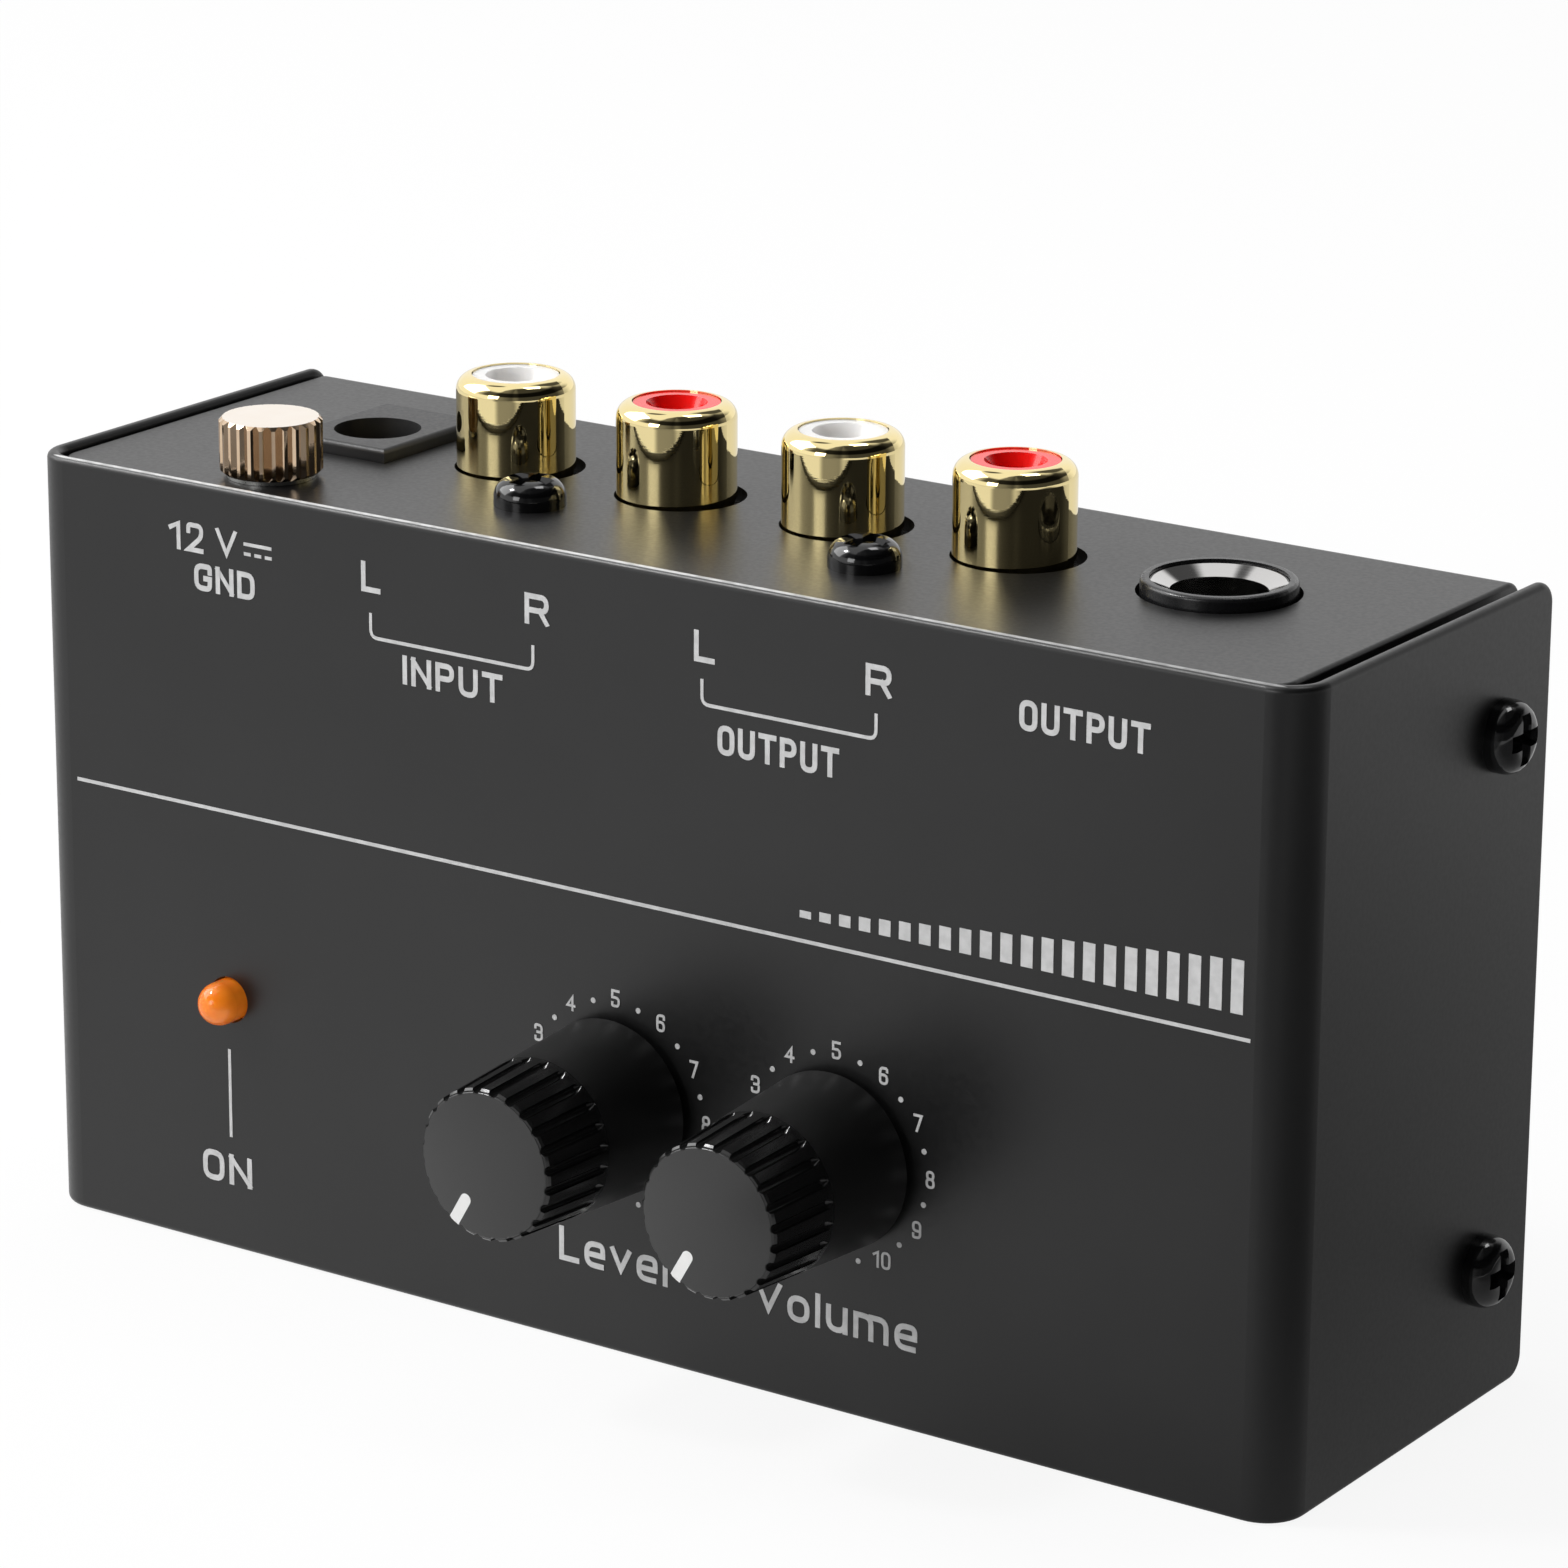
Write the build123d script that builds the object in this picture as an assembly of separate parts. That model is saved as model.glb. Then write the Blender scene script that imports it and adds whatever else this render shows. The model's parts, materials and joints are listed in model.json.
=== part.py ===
"""Phono preamp in a folded sheet-steel case: connector panel on top, control face in front.

Row frame: millimetres, +X right, -Y towards the control face, +Z towards the connector panel.
The origin is the centre of the face the case stands on.
"""
from build123d import *
import os
from math import asin, atan2, cos, degrees, radians, sin

os.makedirs("parts", exist_ok=True)

over = 1.0                     # how far a cutting body runs past what it cuts
slack = 0.1                    # small gap left between inner pieces that must not touch
touching = 0.001               # distance below which two places count as one

# ---------------------------------------------------------------- case
case_width = 103.0
case_depth = 32.5
case_height = 56.0
sheet = 1.0
cover_bend_radius = 3.0        # outside radius of the two upright bends
ear_radius = 1.6               # rounded free corners of the side walls
edge_round = 0.45              # paint-softened rims of the cover
panel_edge_round = 0.3
panel_recess = 0.4             # connector panel lies this far below the cover's top edge
panel_left_gap = 0.35          # between the panel's ends and the side walls
panel_right_gap = 1.5
chassis_bend_radius = 1.5
chassis_front_gap = 0.1        # between the panel's free edge and the control face
flange_depth = 10.5            # screw flanges folded forward from the back plate
flange_end_gap = 4.0           # flange ends stop this far inside the panel and the floor
cover_screw_from_back = 6.8
cover_screw_from_top = 9.0
cover_screw_from_bottom = 9.8
cover_screw_length = 4.2

# ---------------------------------------------------------------- fasteners
screw_radius = 1.5             # M3
screw_head_radius = 2.5
screw_head_height = 1.9
screw_head_round = 1.3
cross_reach = 1.75             # half the length of the cross recess's arms
cross_width = 1.15
cross_depth = 1.2
cross_taper = 14.0             # degrees
screw_length = 5.0
self_tapper_radius = 1.3
self_tapper_length = 8.0
thread_clearance = 0.05
through_clearance = 0.2
tap_runout = 0.5

# ---------------------------------------------------------------- board
board_thickness = 1.6
board_end_gap = 3.0            # to the screw flanges
board_bottom = 3.0
board_top_gap = 1.0            # below the connector panel
board_back_gap = 5.3           # to the back plate
standoff_radius = 2.75
standoff_neck_radius = 2.0
standoff_inset = 4.5           # from the board's ends
standoff_height = 7.0
pin_thickness = 0.5
pin_hole_clearance = 0.15
pin_tail = 1.0                 # solder pins end this far behind the board

# ---------------------------------------------------------------- RCA jacks
rca_pitch = 13.73
rca_input_centre = -15.66      # middle of the input pair
rca_output_centre = 11.8
rca_axis_height = 6.4          # above the board
rca_shell_radius = 4.18
rca_shell_wall = 0.4
rca_shell_height = 6.6         # above the connector panel
rca_foot_radius = 4.0          # the shell is slimmer below the panel's face
rca_rim_radius = 1.1           # rolled top edge
rca_seat_depth = 2.0           # shell and insulator below the panel's underside
rca_core_depth = 6.0           # insulator and contact below the panel's underside
rca_core_recess = 0.1          # insulator's top below the shell's
rca_core_cone = 0.6
rca_pin_bore = 1.7
rca_mouth_radius = 2.12
rca_mouth_depth = 0.9
rca_contact_bore = 1.5         # a little under the plug's pin, which spreads it
rca_contact_wall = 0.4
rca_contact_length = 9.0
rca_contact_slit = 0.5
rca_hole_clearance = 0.42
rca_hole_shift = 0.33          # the panel's holes and its screws' bosses lie this far right of the jacks
rca_block_depth = 10.0
rca_block_margin = 13.6        # block length beyond the pitch
rca_block_height = 11.0        # above the board
rca_block_round = 1.0
rca_boss_radius = 3.2
rca_screw_height = 14.5        # screw axis above the board
rca_pin_width = 1.0
rca_pin_rows = (3.0, 8.5)      # below the panel's underside

# ---------------------------------------------------------------- ground terminal
ground_x = -34.6
ground_from_front = 6.0
ground_head_radius = 3.6
ground_head_height = 3.9
ground_head_chamfer = 0.25
ground_flutes = 26
ground_flute_depth = 0.32
ground_thread_radius = 2.0     # M4, pitch 0.7
ground_thread_length = 6.5
ground_turn_clearance = 0.05
ground_face_gap = 0.02
washer_radius = 3.1
washer_thickness = 0.3
bush_hex_radius = 3.9          # across corners / 2
bush_height = 5.5
bush_neck_radius = 2.9
lug_thickness = 0.6
lug_radius = 3.9
lug_reach = 7.1
lug_width = 3.0
wire_radius = 0.6
wire_bend = 4.0
wire_drop = 12.5

# ---------------------------------------------------------------- power inlet
inlet_x = -34.7
inlet_axis_height = 6.5
inlet_width = 8.6
inlet_height = 11.3            # above the board
inlet_length = 14.4
inlet_proud = 0.9              # its face stands above the panel
inlet_edge_round = 0.35
inlet_bore = 3.1
inlet_bore_depth = 10.0
inlet_pin_radius = 1.05
inlet_pin_recess = 1.2
inlet_pin_tip_round = 0.4
inlet_cutout_clearance = 0.25
inlet_tab_width = 2.0          # solder tabs
inlet_tab_rows = (1.5, 7.5)    # above the body's lower end
inlet_side_tab_row = 4.5
inlet_side_tab_inset = 1.0

# ---------------------------------------------------------------- phone jack
phone_x = 34.4
phone_axis_height = 6.3
phone_width = 14.5
phone_height = 13.3
phone_length = 29.0
phone_collar_radius = 5.2
phone_collar_wall = 0.65
phone_collar_proud = 0.95
phone_collar_round = 0.3
phone_corner_round = 2.0
phone_bore = 3.25
phone_chamber = 3.5            # wider space behind the nose, for the plug's ring and tip
phone_end_wall = 1.5
phone_cone_depth = 0.6
phone_lip = 0.12
phone_nose_recess = 0.25
phone_nose_length = 10.0
phone_hole_clearance = 0.3
phone_window_margin = 0.5
phone_spring_width = 3.0
phone_spring_thickness = 0.4
phone_spring_reach = 0.9       # how far a spring stands into the bore
phone_spring_depth = 1.2       # its back below the housing's face
phone_spring_foot = 1.2
phone_spring_rise = 2.8
phone_spring_fall = 3.2
phone_spring_rows = (0.0, 8.5)
phone_pin_width = 1.2
phone_pin_rows = (2.0, 14.0)   # above the housing's lower end
phone_pin_inset = 1.5

# ---------------------------------------------------------------- dials
dial_height = 18.2
level_x = -0.9
volume_x = 17.0
knob_travel = 300.0            # degrees between the potentiometer's stops
knob_gap = 0.8
knob_base_radius = 6.15
knob_top_radius = 5.27
knob_height = 14.0
knob_flutes = 24
knob_flute_length = 6.2
knob_flute_radius = 0.36
knob_flute_depth = 0.34
knob_flute_point = 0.45        # length of the pointed ends towards the skirt
knob_edge_chamfer = 0.26
knob_wall = 1.0
knob_hub_wall = 1.2
knob_recess_depth = 5.0
knob_bore_depth = 11.6
knob_round_bore = 2.2          # the bore is round for this length, then has the flat
pointer_width = 0.85
pointer_inner_radius = 2.7
pointer_depth = 0.7
pot_width = 9.8
pot_height = 11.4
pot_depth = 11.0
pot_axis_offset = 0.6
pot_corner_round = 0.8
pot_wall = 1.2
pot_cavity_radius = 4.3
pot_track_thickness = 1.2
pot_bush_radius = 3.5
pot_bush_length = 5.0
pot_bush_flange = 0.8
pot_bush_flange_radius = 4.6
pot_stop_height = 1.4
pot_stop_gap = 0.3             # between the stop and the shaft
pot_stop_clearance = 0.7       # degrees left between arm and stop at both ends
pot_pin_width = 0.8
pot_pin_pitch = 2.5
pot_pin_rows = (0.8, 3.3)      # above the housing's lower side
shaft_radius = 3.0
shaft_flat = 1.5               # depth of the flat that drives the knob
shaft_clearance = 0.05
shaft_tip_gap = 0.6
shaft_tip_chamfer = 0.4
shaft_arm_width = 1.4
shaft_flat_start = 2.0         # from the knob's base
knob_fit = 0.02
rotor_radius = 3.9
rotor_thickness = 1.5
wiper_thickness = 0.3
wiper_gap = 0.1
wiper_rise = 0.9
wiper_rim = 0.2
wiper_bore = 1.6
wiper_finger_radius = 2.6      # distance of the two fingers from the axis
wiper_finger = (1.0, 2.0)

# ---------------------------------------------------------------- power lamp
lamp_x = -34.5
lamp_height = 18.8
lamp_radius = 1.55
lamp_barrel = 1.0              # straight part in front of the control face
lamp_length = 5.3
lamp_flange_radius = 1.95
lamp_flange_thickness = 1.0
lamp_hole_clearance = 0.15
lamp_lead_radius = 0.25
lamp_lead_spacing = 2.54
lamp_spacer_radius = 2.1

# ---------------------------------------------------------------- feet
foot_radius = 4.0
foot_height = 2.0
foot_inset = 9.5               # from the back plate's edges
foot_draft = 0.5

# ---------------------------------------------------------------- electronics, with places as (x, z)
chip_length = 9.6
chip_width = 6.4
chip_height = 3.4
chip_lift = 0.2
chip_leg = (0.5, 0.6, 1.8)
chip_leg_pitch = 2.54
chip_leg_offset = 3.5
chip_notch_radius = 0.8
chip_notch_depth = 0.4
chip_places = [(-19.0, 33.5), (6.0, 33.5)]
can_radius = 2.5
can_height = 11.0
can_groove = 0.2
can_groove_height = 1.3
can_edge = 0.3
can_places = [(-43.0, 35.5), (-43.0, 29.0), (-8.0, 35.5), (17.0, 35.5), (-22.0, 9.0), (-14.0, 9.0)]
film_length = 7.2
film_width = 2.6
film_height = 6.4
film_round = 0.4
film_places = [(-24.0, 27.0), (-24.0, 22.5), (-24.0, 18.0), (-13.5, 27.0), (6.0, 28.0), (17.0, 28.5)]
resistor_radius = 0.85
resistor_cap_radius = 1.1
resistor_cap_length = 1.2
resistor_length = 6.2
resistor_lift = 0.1
resistor_places = [(-13.5, 22.0), (-13.5, 19.0), (-13.5, 16.0), (-24.0, 14.0)]
resistor_column_x = 31.0       # the others lie in a column under the phone jack
resistor_column_gap = 5.6
resistor_column_pitch = 3.0
resistor_column_count = 4
regulator_radius = 2.4
regulator_height = 5.0
regulator_face = 1.3           # flat side's distance from the axis
regulator_foot = 1.0
regulator_x = -33.5
regulator_gap = 7.6            # its axis below the power inlet's body
diode_radius = 1.35
diode_length = 5.2
diode_gap = 6.0                # its axis below the regulator's
lead_foot = 0.7                # square end pieces of lying parts

# ---------------------------------------------------------------- places worked out from the above
front_y = -case_depth / 2
back_y = case_depth / 2
side_x = case_width / 2
wall_x = side_x - sheet
panel_top = case_height - panel_recess
panel_under = panel_top - sheet
board_back_y = back_y - sheet - board_back_gap
board_y = board_back_y - board_thickness
board_half = wall_x - sheet - board_end_gap
board_top = panel_under - board_top_gap
board_to_front = board_y - front_y
rca_y = board_y - rca_axis_height
rca_screw_y = board_y - rca_screw_height
inlet_y = board_y - inlet_axis_height
phone_y = board_y - phone_axis_height
ground_y = front_y + ground_from_front
pin_back_y = board_back_y + pin_tail
cover_screw_y = back_y - cover_screw_from_back
cover_screw_z = [cover_screw_from_bottom, case_height - cover_screw_from_top]
standoff_x = [side * (board_half - standoff_inset) for side in (-1, 1)]
rca_core_radius = rca_shell_radius - rca_shell_wall - thread_clearance
wiper_low = pot_track_thickness + wiper_gap + wiper_rise
shaft_tip = board_to_front + knob_gap + knob_bore_depth - shaft_tip_gap
lamp_base_y = front_y - lamp_barrel - lamp_radius + lamp_length
inlet_low = panel_top + inlet_proud - inlet_length
phone_low = panel_under - phone_length
resistor_places += [(resistor_column_x, phone_low - resistor_column_gap - k * resistor_column_pitch)
                    for k in range(resistor_column_count)]
regulator_place = (regulator_x, inlet_low - regulator_gap)
diode_place = (regulator_x, inlet_low - regulator_gap - diode_gap)


# ---------------------------------------------------------------- helpers
def save(node, *solids):
    """Write one node; several solids go into it side by side."""
    shape = solids[0] if len(solids) == 1 else Compound(children=list(solids))
    export_step(shape, f"parts/{node}.step")


def block(x0, x1, y0, y1, z0, z1):
    return Pos((x0 + x1) / 2, (y0 + y1) / 2, (z0 + z1) / 2) * Box(x1 - x0, y1 - y0, z1 - z0)


def slab(length, width, z0, z1):
    """Box centred on the Z axis."""
    return block(-length / 2, length / 2, -width / 2, width / 2, z0, z1)


def post(radius, z0, z1, x=0.0, y=0.0):
    """Round bar along Z."""
    return Pos(x, y, (z0 + z1) / 2) * Cylinder(radius, z1 - z0)


def along_y(radius, y0, y1, x, z):
    """Round bar along Y."""
    return Pos(x, (y0 + y1) / 2, z) * Rot(90, 0, 0) * Cylinder(radius, y1 - y0)


def along_x(radius, x0, x1, y, z):
    """Round bar along X."""
    return Pos((x0 + x1) / 2, y, z) * Rot(0, 90, 0) * Cylinder(radius, x1 - x0)


def turned(*points):
    """Solid of revolution about Z from a closed outline of (radius, z) points."""
    outline = Polyline(*[(r, 0, z) for r, z in points], close=True)
    return revolve(make_face(outline), Axis.Z)


def pan_head_screw(radius, length):
    """Screw with its head above z = 0, its shank below, and a tapered cross recess."""
    head = post(screw_head_radius, 0, screw_head_height)
    head = fillet(head.edges().group_by(Axis.Z)[-1], screw_head_round)
    cross = Rectangle(2 * cross_reach, cross_width) + Rectangle(cross_width, 2 * cross_reach)
    recess = extrude(Plane.XY.offset(screw_head_height) * cross, cross_depth, dir=(0, 0, -1), taper=cross_taper)
    return head - recess + post(radius, -length, 0)


def facing_front(x, z, y):
    """Place for a piece that is drawn along +Z, so that it points out of the control face."""
    return Pos(x, y, z) * Rot(90, 0, 0)


# ---------------------------------------------------------------- casing
def front_cover():
    """Sheet folded into a U: the control face and both side walls."""
    outside = Rectangle(case_width, case_depth)
    outside = fillet(outside.vertices().group_by(Axis.Y)[0], cover_bend_radius)
    inside = Pos(0, sheet) * Rectangle(case_width - 2 * sheet, case_depth)
    inside = fillet(inside.vertices().group_by(Axis.Y)[0], cover_bend_radius - sheet)
    cover = extrude(outside - inside, case_height)
    cover = fillet(cover.edges().filter_by(Axis.X).group_by(Axis.Y)[-1], ear_radius)
    rims = cover.edges().filter_by(lambda edge: on_rim(edge @ 0.5))
    cover = fillet(rims, edge_round)
    through = (front_y - over, front_y + sheet + over)
    cover -= along_y(lamp_radius + lamp_hole_clearance, *through, lamp_x, lamp_height)
    for x in (level_x, volume_x):
        cover -= along_y(shaft_radius + through_clearance, *through, x, dial_height)
    for z in cover_screw_z:
        cover -= along_x(screw_radius + through_clearance, -side_x - over, side_x + over, cover_screw_y, z)
    return cover


def on_rim(point):
    """True on the cover's top and bottom rims, ahead of the ears' rounded corners."""
    near = min(abs(point.Z), abs(point.Z - case_height))
    return near < touching and point.Y < back_y - ear_radius


def rear_chassis():
    """Sheet folded into connector panel, back plate and bottom, with flanges for the cover's screws."""
    left, right = -wall_x + panel_left_gap, wall_x - panel_right_gap
    chassis_front = front_y + sheet + chassis_front_gap
    depth = back_y - chassis_front
    section = Pos(chassis_front + depth / 2, panel_top / 2) * Rectangle(depth, panel_top)
    section = fillet(section.vertices().group_by(Axis.X)[-1], chassis_bend_radius)
    hollow = Pos(chassis_front + depth / 2 - sheet, panel_top / 2) * Rectangle(depth, panel_top - 2 * sheet)
    hollow = fillet(hollow.vertices().group_by(Axis.X)[-1], chassis_bend_radius - sheet)
    channel = extrude(Plane.YZ.offset(left) * (section - hollow), right - left)
    channel = fillet(channel.edges().filter_by(Axis.Z).group_by(Axis.Y)[0], cover_bend_radius - sheet)
    outline = channel.faces().sort_by(Axis.Z)[-1].edges().sort_by(Axis.Y)[:-1]
    channel = fillet(outline, panel_edge_round)
    chassis = channel + screw_flanges()

    through = (panel_under - over, panel_top + over)
    for centre in (rca_input_centre, rca_output_centre):
        for x in pair_places(centre):
            chassis -= post(rca_shell_radius + rca_hole_clearance, *through, x + rca_hole_shift, rca_y)
        chassis -= post(self_tapper_radius + through_clearance, *through, centre + rca_hole_shift, rca_screw_y)
    chassis -= post(phone_collar_radius + phone_hole_clearance, *through, phone_x, phone_y)
    chassis -= post(bush_neck_radius + thread_clearance, *through, ground_x, ground_y)
    cut = inlet_cutout_clearance
    chassis -= block(inlet_x - inlet_width / 2 - cut, inlet_x + inlet_width / 2 + cut,
                     board_y - inlet_height - cut, board_y + cut, *through)
    for z in cover_screw_z:
        chassis -= along_x(screw_radius + thread_clearance, -side_x, side_x, cover_screw_y, z)
    for x in standoff_x:
        chassis -= along_y(standoff_neck_radius + thread_clearance, back_y - 2 * sheet, back_y + over,
                           x, standoff_height)
    return chassis


def screw_flanges():
    """The back plate's two ends, folded forward along the cover's side walls."""
    plan = Pos(0, back_y - flange_depth / 2) * Rectangle(2 * wall_x, flange_depth)
    plan = fillet(plan.vertices().group_by(Axis.Y)[-1], chassis_bend_radius)
    inner = Pos(0, back_y - sheet - flange_depth / 2) * Rectangle(2 * (wall_x - sheet), flange_depth)
    inner = fillet(inner.vertices().group_by(Axis.Y)[-1], chassis_bend_radius - sheet)
    return Pos(0, 0, flange_end_gap) * extrude(plan - inner, panel_top - 2 * flange_end_gap)


def cover_screws():
    screw = pan_head_screw(screw_radius, cover_screw_length)
    right = [Pos(side_x, cover_screw_y, z) * Rot(0, 90, 0) * screw for z in cover_screw_z]
    left = [Pos(-side_x, cover_screw_y, z) * Rot(0, -90, 0) * screw for z in cover_screw_z]
    return right + left


def rubber_feet():
    foot = turned((0, 0), (foot_radius, 0), (foot_radius - foot_draft, foot_height), (0, foot_height))
    reach_x = side_x - foot_inset
    return [Pos(side * reach_x, back_y, z) * Rot(-90, 0, 0) * foot
            for side in (-1, 1) for z in (foot_inset, case_height - foot_inset)]


# ---------------------------------------------------------------- board, its fixing and its solder pins
def rca_pins():
    """Flat pins, each (x, z, width along X, width along Z)."""
    return [(x, panel_under - row, rca_pin_width, pin_thickness)
            for centre in (rca_input_centre, rca_output_centre) for x in pair_places(centre)
            for row in rca_pin_rows]


def inlet_pins():
    rear = [(inlet_x, inlet_low + row, inlet_tab_width, pin_thickness) for row in inlet_tab_rows]
    side_x_place = inlet_x + inlet_width / 2 - inlet_side_tab_inset
    return rear + [(side_x_place, inlet_low + inlet_side_tab_row, pin_thickness, inlet_tab_width)]


def phone_pins():
    reach = phone_width / 2 - phone_pin_inset
    return [(phone_x + side * reach, phone_low + row, phone_pin_width, pin_thickness)
            for side in (-1, 1) for row in phone_pin_rows]


def pot_pins():
    low = dial_height + pot_axis_offset - pot_height / 2
    return [(x + step * pot_pin_pitch, low + row, pot_pin_width, pin_thickness)
            for x in (level_x, volume_x) for step in (-1, 0, 1) for row in pot_pin_rows]


def pin_bodies(pins):
    """Pins from their part's underside through the board."""
    return [block(x - w / 2, x + w / 2, board_y, pin_back_y, z - t / 2, z + t / 2) for x, z, w, t in pins]


def circuit_board():
    board = block(-board_half, board_half, board_y, board_back_y, board_bottom, board_top)
    through = (board_y - over, board_back_y + over)
    c = pin_hole_clearance
    holes = [along_y(screw_radius + through_clearance, *through, x, standoff_height) for x in standoff_x]
    holes += [block(x - w / 2 - c, x + w / 2 + c, *through, z - t / 2 - c, z + t / 2 + c)
              for x, z, w, t in rca_pins() + inlet_pins() + phone_pins() + pot_pins()]
    holes += [along_y(lamp_lead_radius + c, *through, x, lamp_height) for x in lamp_lead_places()]
    return board - holes


def board_standoffs():
    inner_back = back_y - sheet
    return [along_y(standoff_radius, board_back_y, inner_back, x, standoff_height)
            + along_y(standoff_neck_radius, inner_back, back_y, x, standoff_height)
            - along_y(screw_radius + thread_clearance, board_back_y - over, inner_back, x, standoff_height)
            for x in standoff_x]


def board_screws():
    screw = pan_head_screw(screw_radius, screw_length)
    return [facing_front(x, standoff_height, board_y) * screw for x in standoff_x]


# ---------------------------------------------------------------- RCA jacks
def pair_places(centre):
    return [centre - rca_pitch / 2, centre + rca_pitch / 2]


def rca_block(centre):
    """Moulded housing of two jacks, with the boss between them that the panel screw bites into."""
    length = rca_pitch + rca_block_margin
    low = panel_under - rca_block_depth
    face = board_y - rca_block_height
    housing = block(centre - length / 2, centre + length / 2, face, board_y, low, panel_under)
    housing = fillet(housing.edges().filter_by(Axis.Z).group_by(Axis.Y)[0], rca_block_round)
    boss_x = centre + rca_hole_shift
    boss = post(rca_boss_radius, low, panel_under, boss_x, rca_screw_y)
    web = block(boss_x - rca_boss_radius, boss_x + rca_boss_radius, rca_screw_y, face + over, low, panel_under)
    housing += [boss, web]
    above = panel_under + over
    housing -= post(self_tapper_radius + thread_clearance, panel_under - self_tapper_length - tap_runout, above,
                    boss_x, rca_screw_y)
    for x in pair_places(centre):
        housing -= post(rca_foot_radius + thread_clearance, panel_under - rca_seat_depth, above, x, rca_y)
        housing -= post(rca_core_radius + thread_clearance, panel_under - rca_core_depth, above, x, rca_y)
    return housing


def rca_shell(x):
    """Plated sleeve with its top edge rolled inwards; its foot is slimmer and stands in the housing."""
    top = panel_top + rca_shell_height
    low = panel_under - rca_seat_depth
    foot, outer, inner = rca_foot_radius, rca_shell_radius, rca_shell_radius - rca_shell_wall
    lip = outer - rca_rim_radius
    lip_low = top - rca_shell_wall
    turn = top - rca_rim_radius
    bend = rca_rim_radius * cos(radians(45))
    inner_bend = (rca_rim_radius - rca_shell_wall) * cos(radians(45))
    profile = make_face([
        Polyline((foot, 0, low), (foot, 0, panel_top), (outer, 0, panel_top), (outer, 0, turn)),
        ThreePointArc((outer, 0, turn), (lip + bend, 0, turn + bend), (lip, 0, top)),
        Line((lip, 0, top), (lip, 0, lip_low)),
        ThreePointArc((lip, 0, lip_low), (lip + inner_bend, 0, turn + inner_bend), (inner, 0, turn)),
        Polyline((inner, 0, turn), (inner, 0, low), (foot, 0, low)),
    ])
    return Pos(x, rca_y, 0) * revolve(profile, Axis.Z)


def rca_insulator(x):
    """Coloured core with a wide mouth that leads the plug's pin in."""
    top = panel_top + rca_shell_height - rca_core_recess
    low = panel_under - rca_core_depth
    narrow = rca_shell_radius - rca_rim_radius - thread_clearance
    shoulder = top - rca_rim_radius
    contact_top = low + rca_contact_length
    contact_seat = rca_contact_bore + rca_contact_wall + thread_clearance
    core = turned((contact_seat, low), (rca_core_radius, low), (rca_core_radius, shoulder),
                  (narrow, shoulder + rca_core_cone), (narrow, top),
                  (rca_mouth_radius, top), (rca_pin_bore, top - rca_mouth_depth),
                  (rca_pin_bore, contact_top), (contact_seat, contact_top))
    return Pos(x, rca_y, 0) * core


def rca_contact(x):
    """Split spring tube that grips the plug's pin."""
    low = panel_under - rca_core_depth
    top = low + rca_contact_length - slack
    tube = (post(rca_contact_bore + rca_contact_wall, low, top)
            - post(rca_contact_bore, low - over, top + over))
    slit = slab(rca_contact_slit, 4 * rca_contact_bore, (low + top) / 2, top + over)
    return Pos(x, rca_y, 0) * (tube - slit)


def rca_block_screws():
    screw = pan_head_screw(self_tapper_radius, self_tapper_length)
    return [Pos(centre + rca_hole_shift, rca_screw_y, panel_top) * screw
            for centre in (rca_input_centre, rca_output_centre)]


# ---------------------------------------------------------------- ground terminal
def ground_screw():
    """Thumb screw with a straight-fluted rim and a closed flat top."""
    base = panel_top + washer_thickness + 2 * ground_face_gap
    top = base + ground_head_height
    rim = ground_head_radius
    c = ground_head_chamfer
    head = turned((0, base), (rim - c, base), (rim, base + c), (rim, top - c), (rim - c, top), (0, top))
    corner = ground_flute_depth * 2 ** 0.5
    flute = Pos(rim, 0, 0) * Rot(0, 0, 45) * slab(corner, corner, base - over, top + over)
    head -= [Rot(0, 0, k * 360 / ground_flutes) * flute for k in range(ground_flutes)]
    shank = post(ground_thread_radius - ground_turn_clearance, base - ground_thread_length, base)
    return Pos(ground_x, ground_y, 0) * (head + shank)


def ground_washer():
    low = panel_top + ground_face_gap
    top = low + washer_thickness
    ring = post(washer_radius, low, top) - post(ground_thread_radius, low - over, top + over)
    return Pos(ground_x, ground_y, 0) * ring


def ground_bush():
    """Threaded hexagon bush, its neck pressed into the panel over the solder lug."""
    high = panel_under - lug_thickness
    low = high - bush_height
    hexagon = Pos(0, 0, low) * extrude(RegularPolygon(bush_hex_radius, 6), bush_height)
    neck = post(bush_neck_radius, high, panel_top)
    bore = post(ground_thread_radius, low - over, panel_top + over)
    return Pos(ground_x, ground_y, 0) * (hexagon + neck - bore)


def ground_lug():
    low = panel_under - lug_thickness
    ring = post(lug_radius, low, panel_under)
    tongue = block(0, lug_reach, -lug_width / 2, lug_width / 2, low, panel_under)
    hole = post(bush_neck_radius + thread_clearance, low - over, panel_under + over)
    return Pos(ground_x, ground_y, 0) * (ring + tongue - hole)


def ground_wire():
    """Insulated wire from the lug's tongue to the board."""
    x = ground_x + lug_reach - lug_width / 2
    start = panel_under - lug_thickness
    route = FilletPolyline((x, ground_y, start), (x, ground_y, start - wire_drop),
                           (x, board_y, start - wire_drop), radius=wire_bend)
    return sweep(Plane((x, ground_y, start), z_dir=(0, 0, -1)) * Circle(wire_radius), path=route)


# ---------------------------------------------------------------- power inlet
def inlet_body():
    top = panel_top + inlet_proud
    half = inlet_width / 2
    body = block(inlet_x - half, inlet_x + half, board_y - inlet_height, board_y, inlet_low, top)
    body = fillet(body.edges().group_by(Axis.Z)[-1], inlet_edge_round)
    return body - post(inlet_bore, top - inlet_bore_depth, top + over, inlet_x, inlet_y)


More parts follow.
